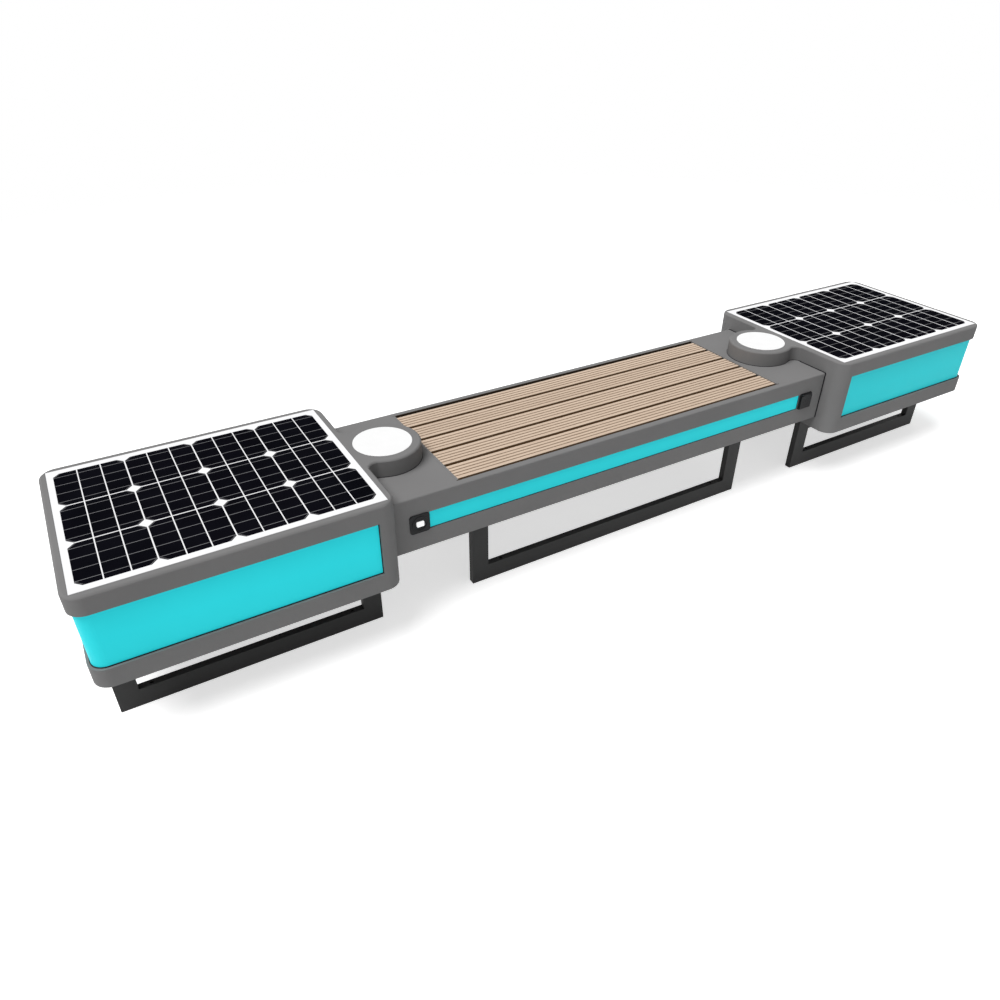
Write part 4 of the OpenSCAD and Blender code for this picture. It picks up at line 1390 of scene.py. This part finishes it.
    def slat_trim(self, side: Side) -> None:
        """Grey trim along the slats' ends, with a cap over the tray's edge.

        Args:
            side: End of the bench.
        """
        way = side.value
        x0, x1 = sorted((way * self.trim_inner, way * self.trim_outer))
        trim = Workpiece(f"{side.word}_slat_trim").block(
            (x0, -self.trim_y, self.trim_low), (x1, self.trim_y, self.trim_seat)
        )
        trim.pick_faces(lambda c, n: n.z > FACING).pull((0, 0, self.trim_t))
        trim.pick_faces(lambda c, n: n.x * way > FACING and c.z > self.trim_seat)
        trim.pull((way * (self.trim_cap - self.trim_outer), 0, 0))
        top = self.trim_seat + self.trim_t - NEAR
        trim.pick_edges(lambda a, b: min(a.z, b.z) > top and abs(a.x - b.x) < NEAR)
        trim.soften(self.trim_edge)
        trim.outward().done(self.finishes.of(Slot.POD_PAINT), Slot.POD_PAINT)


@dataclass
class FrontFittings:
    """Push-button at the left and charging socket at the right of the front."""

    finishes: Finishes
    button_edge: float = 0.8
    button_plate_edge: float = 0.6
    plate_edge: float = 0.5
    socket_edge: float = 0.3
    socket_x: float = 674.5
    socket_z: float = 314.5
    slot_w: float = 13.2
    slot_h: float = 5.8
    slot_pitch: float = 11.0
    slot_front: float = -217.0
    slot_back: float = -205.0
    liner_play: float = 0.1
    liner_start: float = 0.3
    liner_wall: float = 0.4
    liner_end: float = 1.0
    tongue_half: float = 5.4
    tongue_low: float = 0.1
    tongue_high: float = 1.6
    tongue_front: float = 2.5
    tongue_back: float = 1.2
    tongue_edge: float = 0.3
    tongue_tip: float = 0.4

    def build(self) -> None:
        """Builds and dresses the fittings."""
        black = Slot.BLACK_PLASTIC
        for edge in (
            SoftEdge("button_plate", self.button_plate_edge, black),
            SoftEdge("socket_plate", self.plate_edge, black),
            SoftEdge("switch_block", self.button_edge, black),
            SoftEdge("usb_socket", self.socket_edge, black),
            SoftEdge("socket_flap", self.plate_edge, black, Body.FLAP),
        ):
            edge.build(self.finishes)
        SoftEdge("power_button", self.button_edge, Slot.PAD_WHITE, Body.BUTTON).build(
            self.finishes, self.finishes.lit_white
        )
        self.finishes.paint(Slot.STEEL, "flap_pin")
        x, front, back = self.socket_x, self.slot_front, self.slot_back
        half_x = self.slot_w / 2 - self.liner_play
        half_z = self.slot_h / 2 - self.liner_play
        for word, step in (("upper", 0.5), ("lower", -0.5)):
            z = self.socket_z + step * self.slot_pitch
            self.insert(
                f"{word}_slot_liner", (x - half_x, front + self.liner_start, z - half_z),
                (x + half_x, back - self.liner_play, z + half_z),
                self.liner_wall, back - front - self.liner_end, Slot.STEEL,
            )
            self.insert(
                f"{word}_contact_tongue",
                (x - self.tongue_half, front + self.tongue_front, z + self.tongue_low),
                (x + self.tongue_half, back - self.tongue_back, z + self.tongue_high),
                self.tongue_edge, -self.tongue_tip, black,
            )

    def insert(self, name: str, low: Point, high: Point, wall: float, depth: float,
               slot: Slot) -> None:
        """Block in a charging slot, with its front face inset and pulled.

        Args:
            name: Name of the piece.
            low: Lowest corner, in millimetres.
            high: Highest corner, in millimetres.
            wall: Width of the inset, in millimetres.
            depth: How far the inset face goes inwards, in millimetres.
            slot: Slot of its finish.
        """
        piece = Workpiece(name).block(low, high)
        piece.pick_faces(lambda c, n: n.y < -FACING).inset(wall).pull((0, depth, 0))
        piece.done(self.finishes.of(slot), slot)


@dataclass
class LegSet:
    """Six loops of flat bar with their bolts."""

    finishes: Finishes
    edge: float = 1.2
    weld: float = 0.16

    def build(self) -> None:
        """Builds and dresses the legs."""
        for end in ("left", "centre", "right"):
            for face in Face:
                SoftEdge(
                    f"{end}_{face.word}_leg", self.edge, Slot.LEG_PAINT, merge=self.weld, fused=True
                ).build(self.finishes)
        self.finishes.paint(Slot.STEEL, "leg_bolts")


# Studio


@dataclass
class Studio:
    """Pale floor, white surroundings and one broad soft lamp."""

    sun: float = 2.9
    sun_angle: float = 38.0
    sun_from: tuple[float, float, float] = (-0.42, -0.05, 0.9)
    sun_away: float = 4.0
    sky: float = 0.3
    floor_r: float = 7000.0
    floor_t: float = 10.0
    floor_top: float = -0.3
    floor_sides: int = 96
    floor_colour: Colour = (0.86, 0.86, 0.86)
    floor_lift: float = 0.6
    fade_start: float = 3.2
    fade_end: float = 5.2

    def build(self) -> None:
        """Sets up the floor, the world and the lamp."""
        self.floor()
        self.world()
        self.lamp()
        bpy.context.scene.view_settings.view_transform = "Standard"

    def floor(self) -> None:
        """Lays the floor, which fades into the white far from the bench."""
        work = Workpiece("studio_floor").drum(
            (0, 0, self.floor_top - self.floor_t / 2), self.floor_r, self.floor_t, self.floor_sides
        )
        work.pick_faces(lambda c, n: n.z < FACING).remove_faces()
        bpy.ops.object.mode_set(mode="OBJECT")
        mix = Recipe("studio_floor")
        seen = mix.seen()
        x, y, _ = mix.axes()
        mix.surface(
            Base_Color=mix.varied(self.floor_colour, 0.004, mix.noise(3.0)),
            Roughness=0.9,
            Specular_IOR_Level=0.0,
            Emission_Color=WHITE,
            Emission_Strength=mix.math("MULTIPLY", seen, self.floor_lift),
            Alpha=mix.spread(mix.radius(x, y), self.fade_start, self.fade_end, 1.0, 0.0),
        )
        work.object.data.materials.append(mix.material)
        log.info("studio_floor: radius %.1f m", self.floor_r * MM)

    def world(self) -> None:
        """Makes the surroundings white to the camera, in gloss and through glass."""
        world = bpy.data.worlds.new("studio_world")
        bpy.context.scene.world = world
        world.use_nodes = True
        sheet = NodeSheet(world.node_tree)
        level = sheet.spread(sheet.seen(), 0.0, 1.0, self.sky, 1.0)
        sheet.fill(world.node_tree.nodes["Background"], Color=WHITE, Strength=level)

    def lamp(self) -> None:
        """Hangs the broad lamp, high and a little to the left."""
        data = bpy.data.lights.new("soft_lamp", "SUN")
        data.energy = self.sun
        data.angle = math.radians(self.sun_angle)
        lamp = placed("soft_lamp", data)
        lamp.rotation_euler = Vector(self.sun_from).to_track_quat("Z", "Y").to_euler()
        lamp.location = Vector(self.sun_from) * self.sun_away


@dataclass
class PhotoCamera:
    """Camera at the photograph's place, by its measured angles."""

    focal: float = 781.9256
    frame_px: float = 1000.0
    azimuth: float = -30.3133
    elevation: float = 33.7190
    roll: float = 0.18355
    place: tuple[float, float, float] = (-1.29518, -1.66746, 1.42977)
    sensor: float = 36.0

    def build(self) -> None:
        """Places the camera and makes it the scene's own."""
        az, el = math.radians(self.azimuth), math.radians(self.elevation)
        back = Vector((math.sin(az) * math.cos(el), -math.cos(az) * math.cos(el), math.sin(el)))
        flat = (-back).cross(Vector((0, 0, 1))).normalized()
        over = flat.cross(-back)
        turn = math.radians(self.roll)
        right = flat * math.cos(turn) + over * math.sin(turn)
        up = over * math.cos(turn) - flat * math.sin(turn)
        data = bpy.data.cameras.new("photo_camera")
        data.sensor_width = self.sensor
        data.lens = self.focal * self.sensor / self.frame_px
        camera = placed("photo_camera", data)
        matrix = camera.matrix_world.copy()
        for row in range(3):
            matrix[row] = (right[row], up[row], back[row], self.place[row])
        camera.matrix_world = matrix
        bpy.context.scene.camera = camera
        log.info("photo_camera: lens %.2f mm", data.lens)


def main() -> None:
    """Builds the studio and every sub-assembly in order."""
    logging.basicConfig(level=logging.INFO, format="%(name)s: %(message)s")
    Studio().build()
    PhotoCamera().build()
    finishes = Finishes()
    for side in Side:
        EndPod(side, finishes).build()
    SeatBox(finishes).build()
    FrontFittings(finishes).build()
    LegSet(finishes).build()


if __name__ == "__main__":
    main()
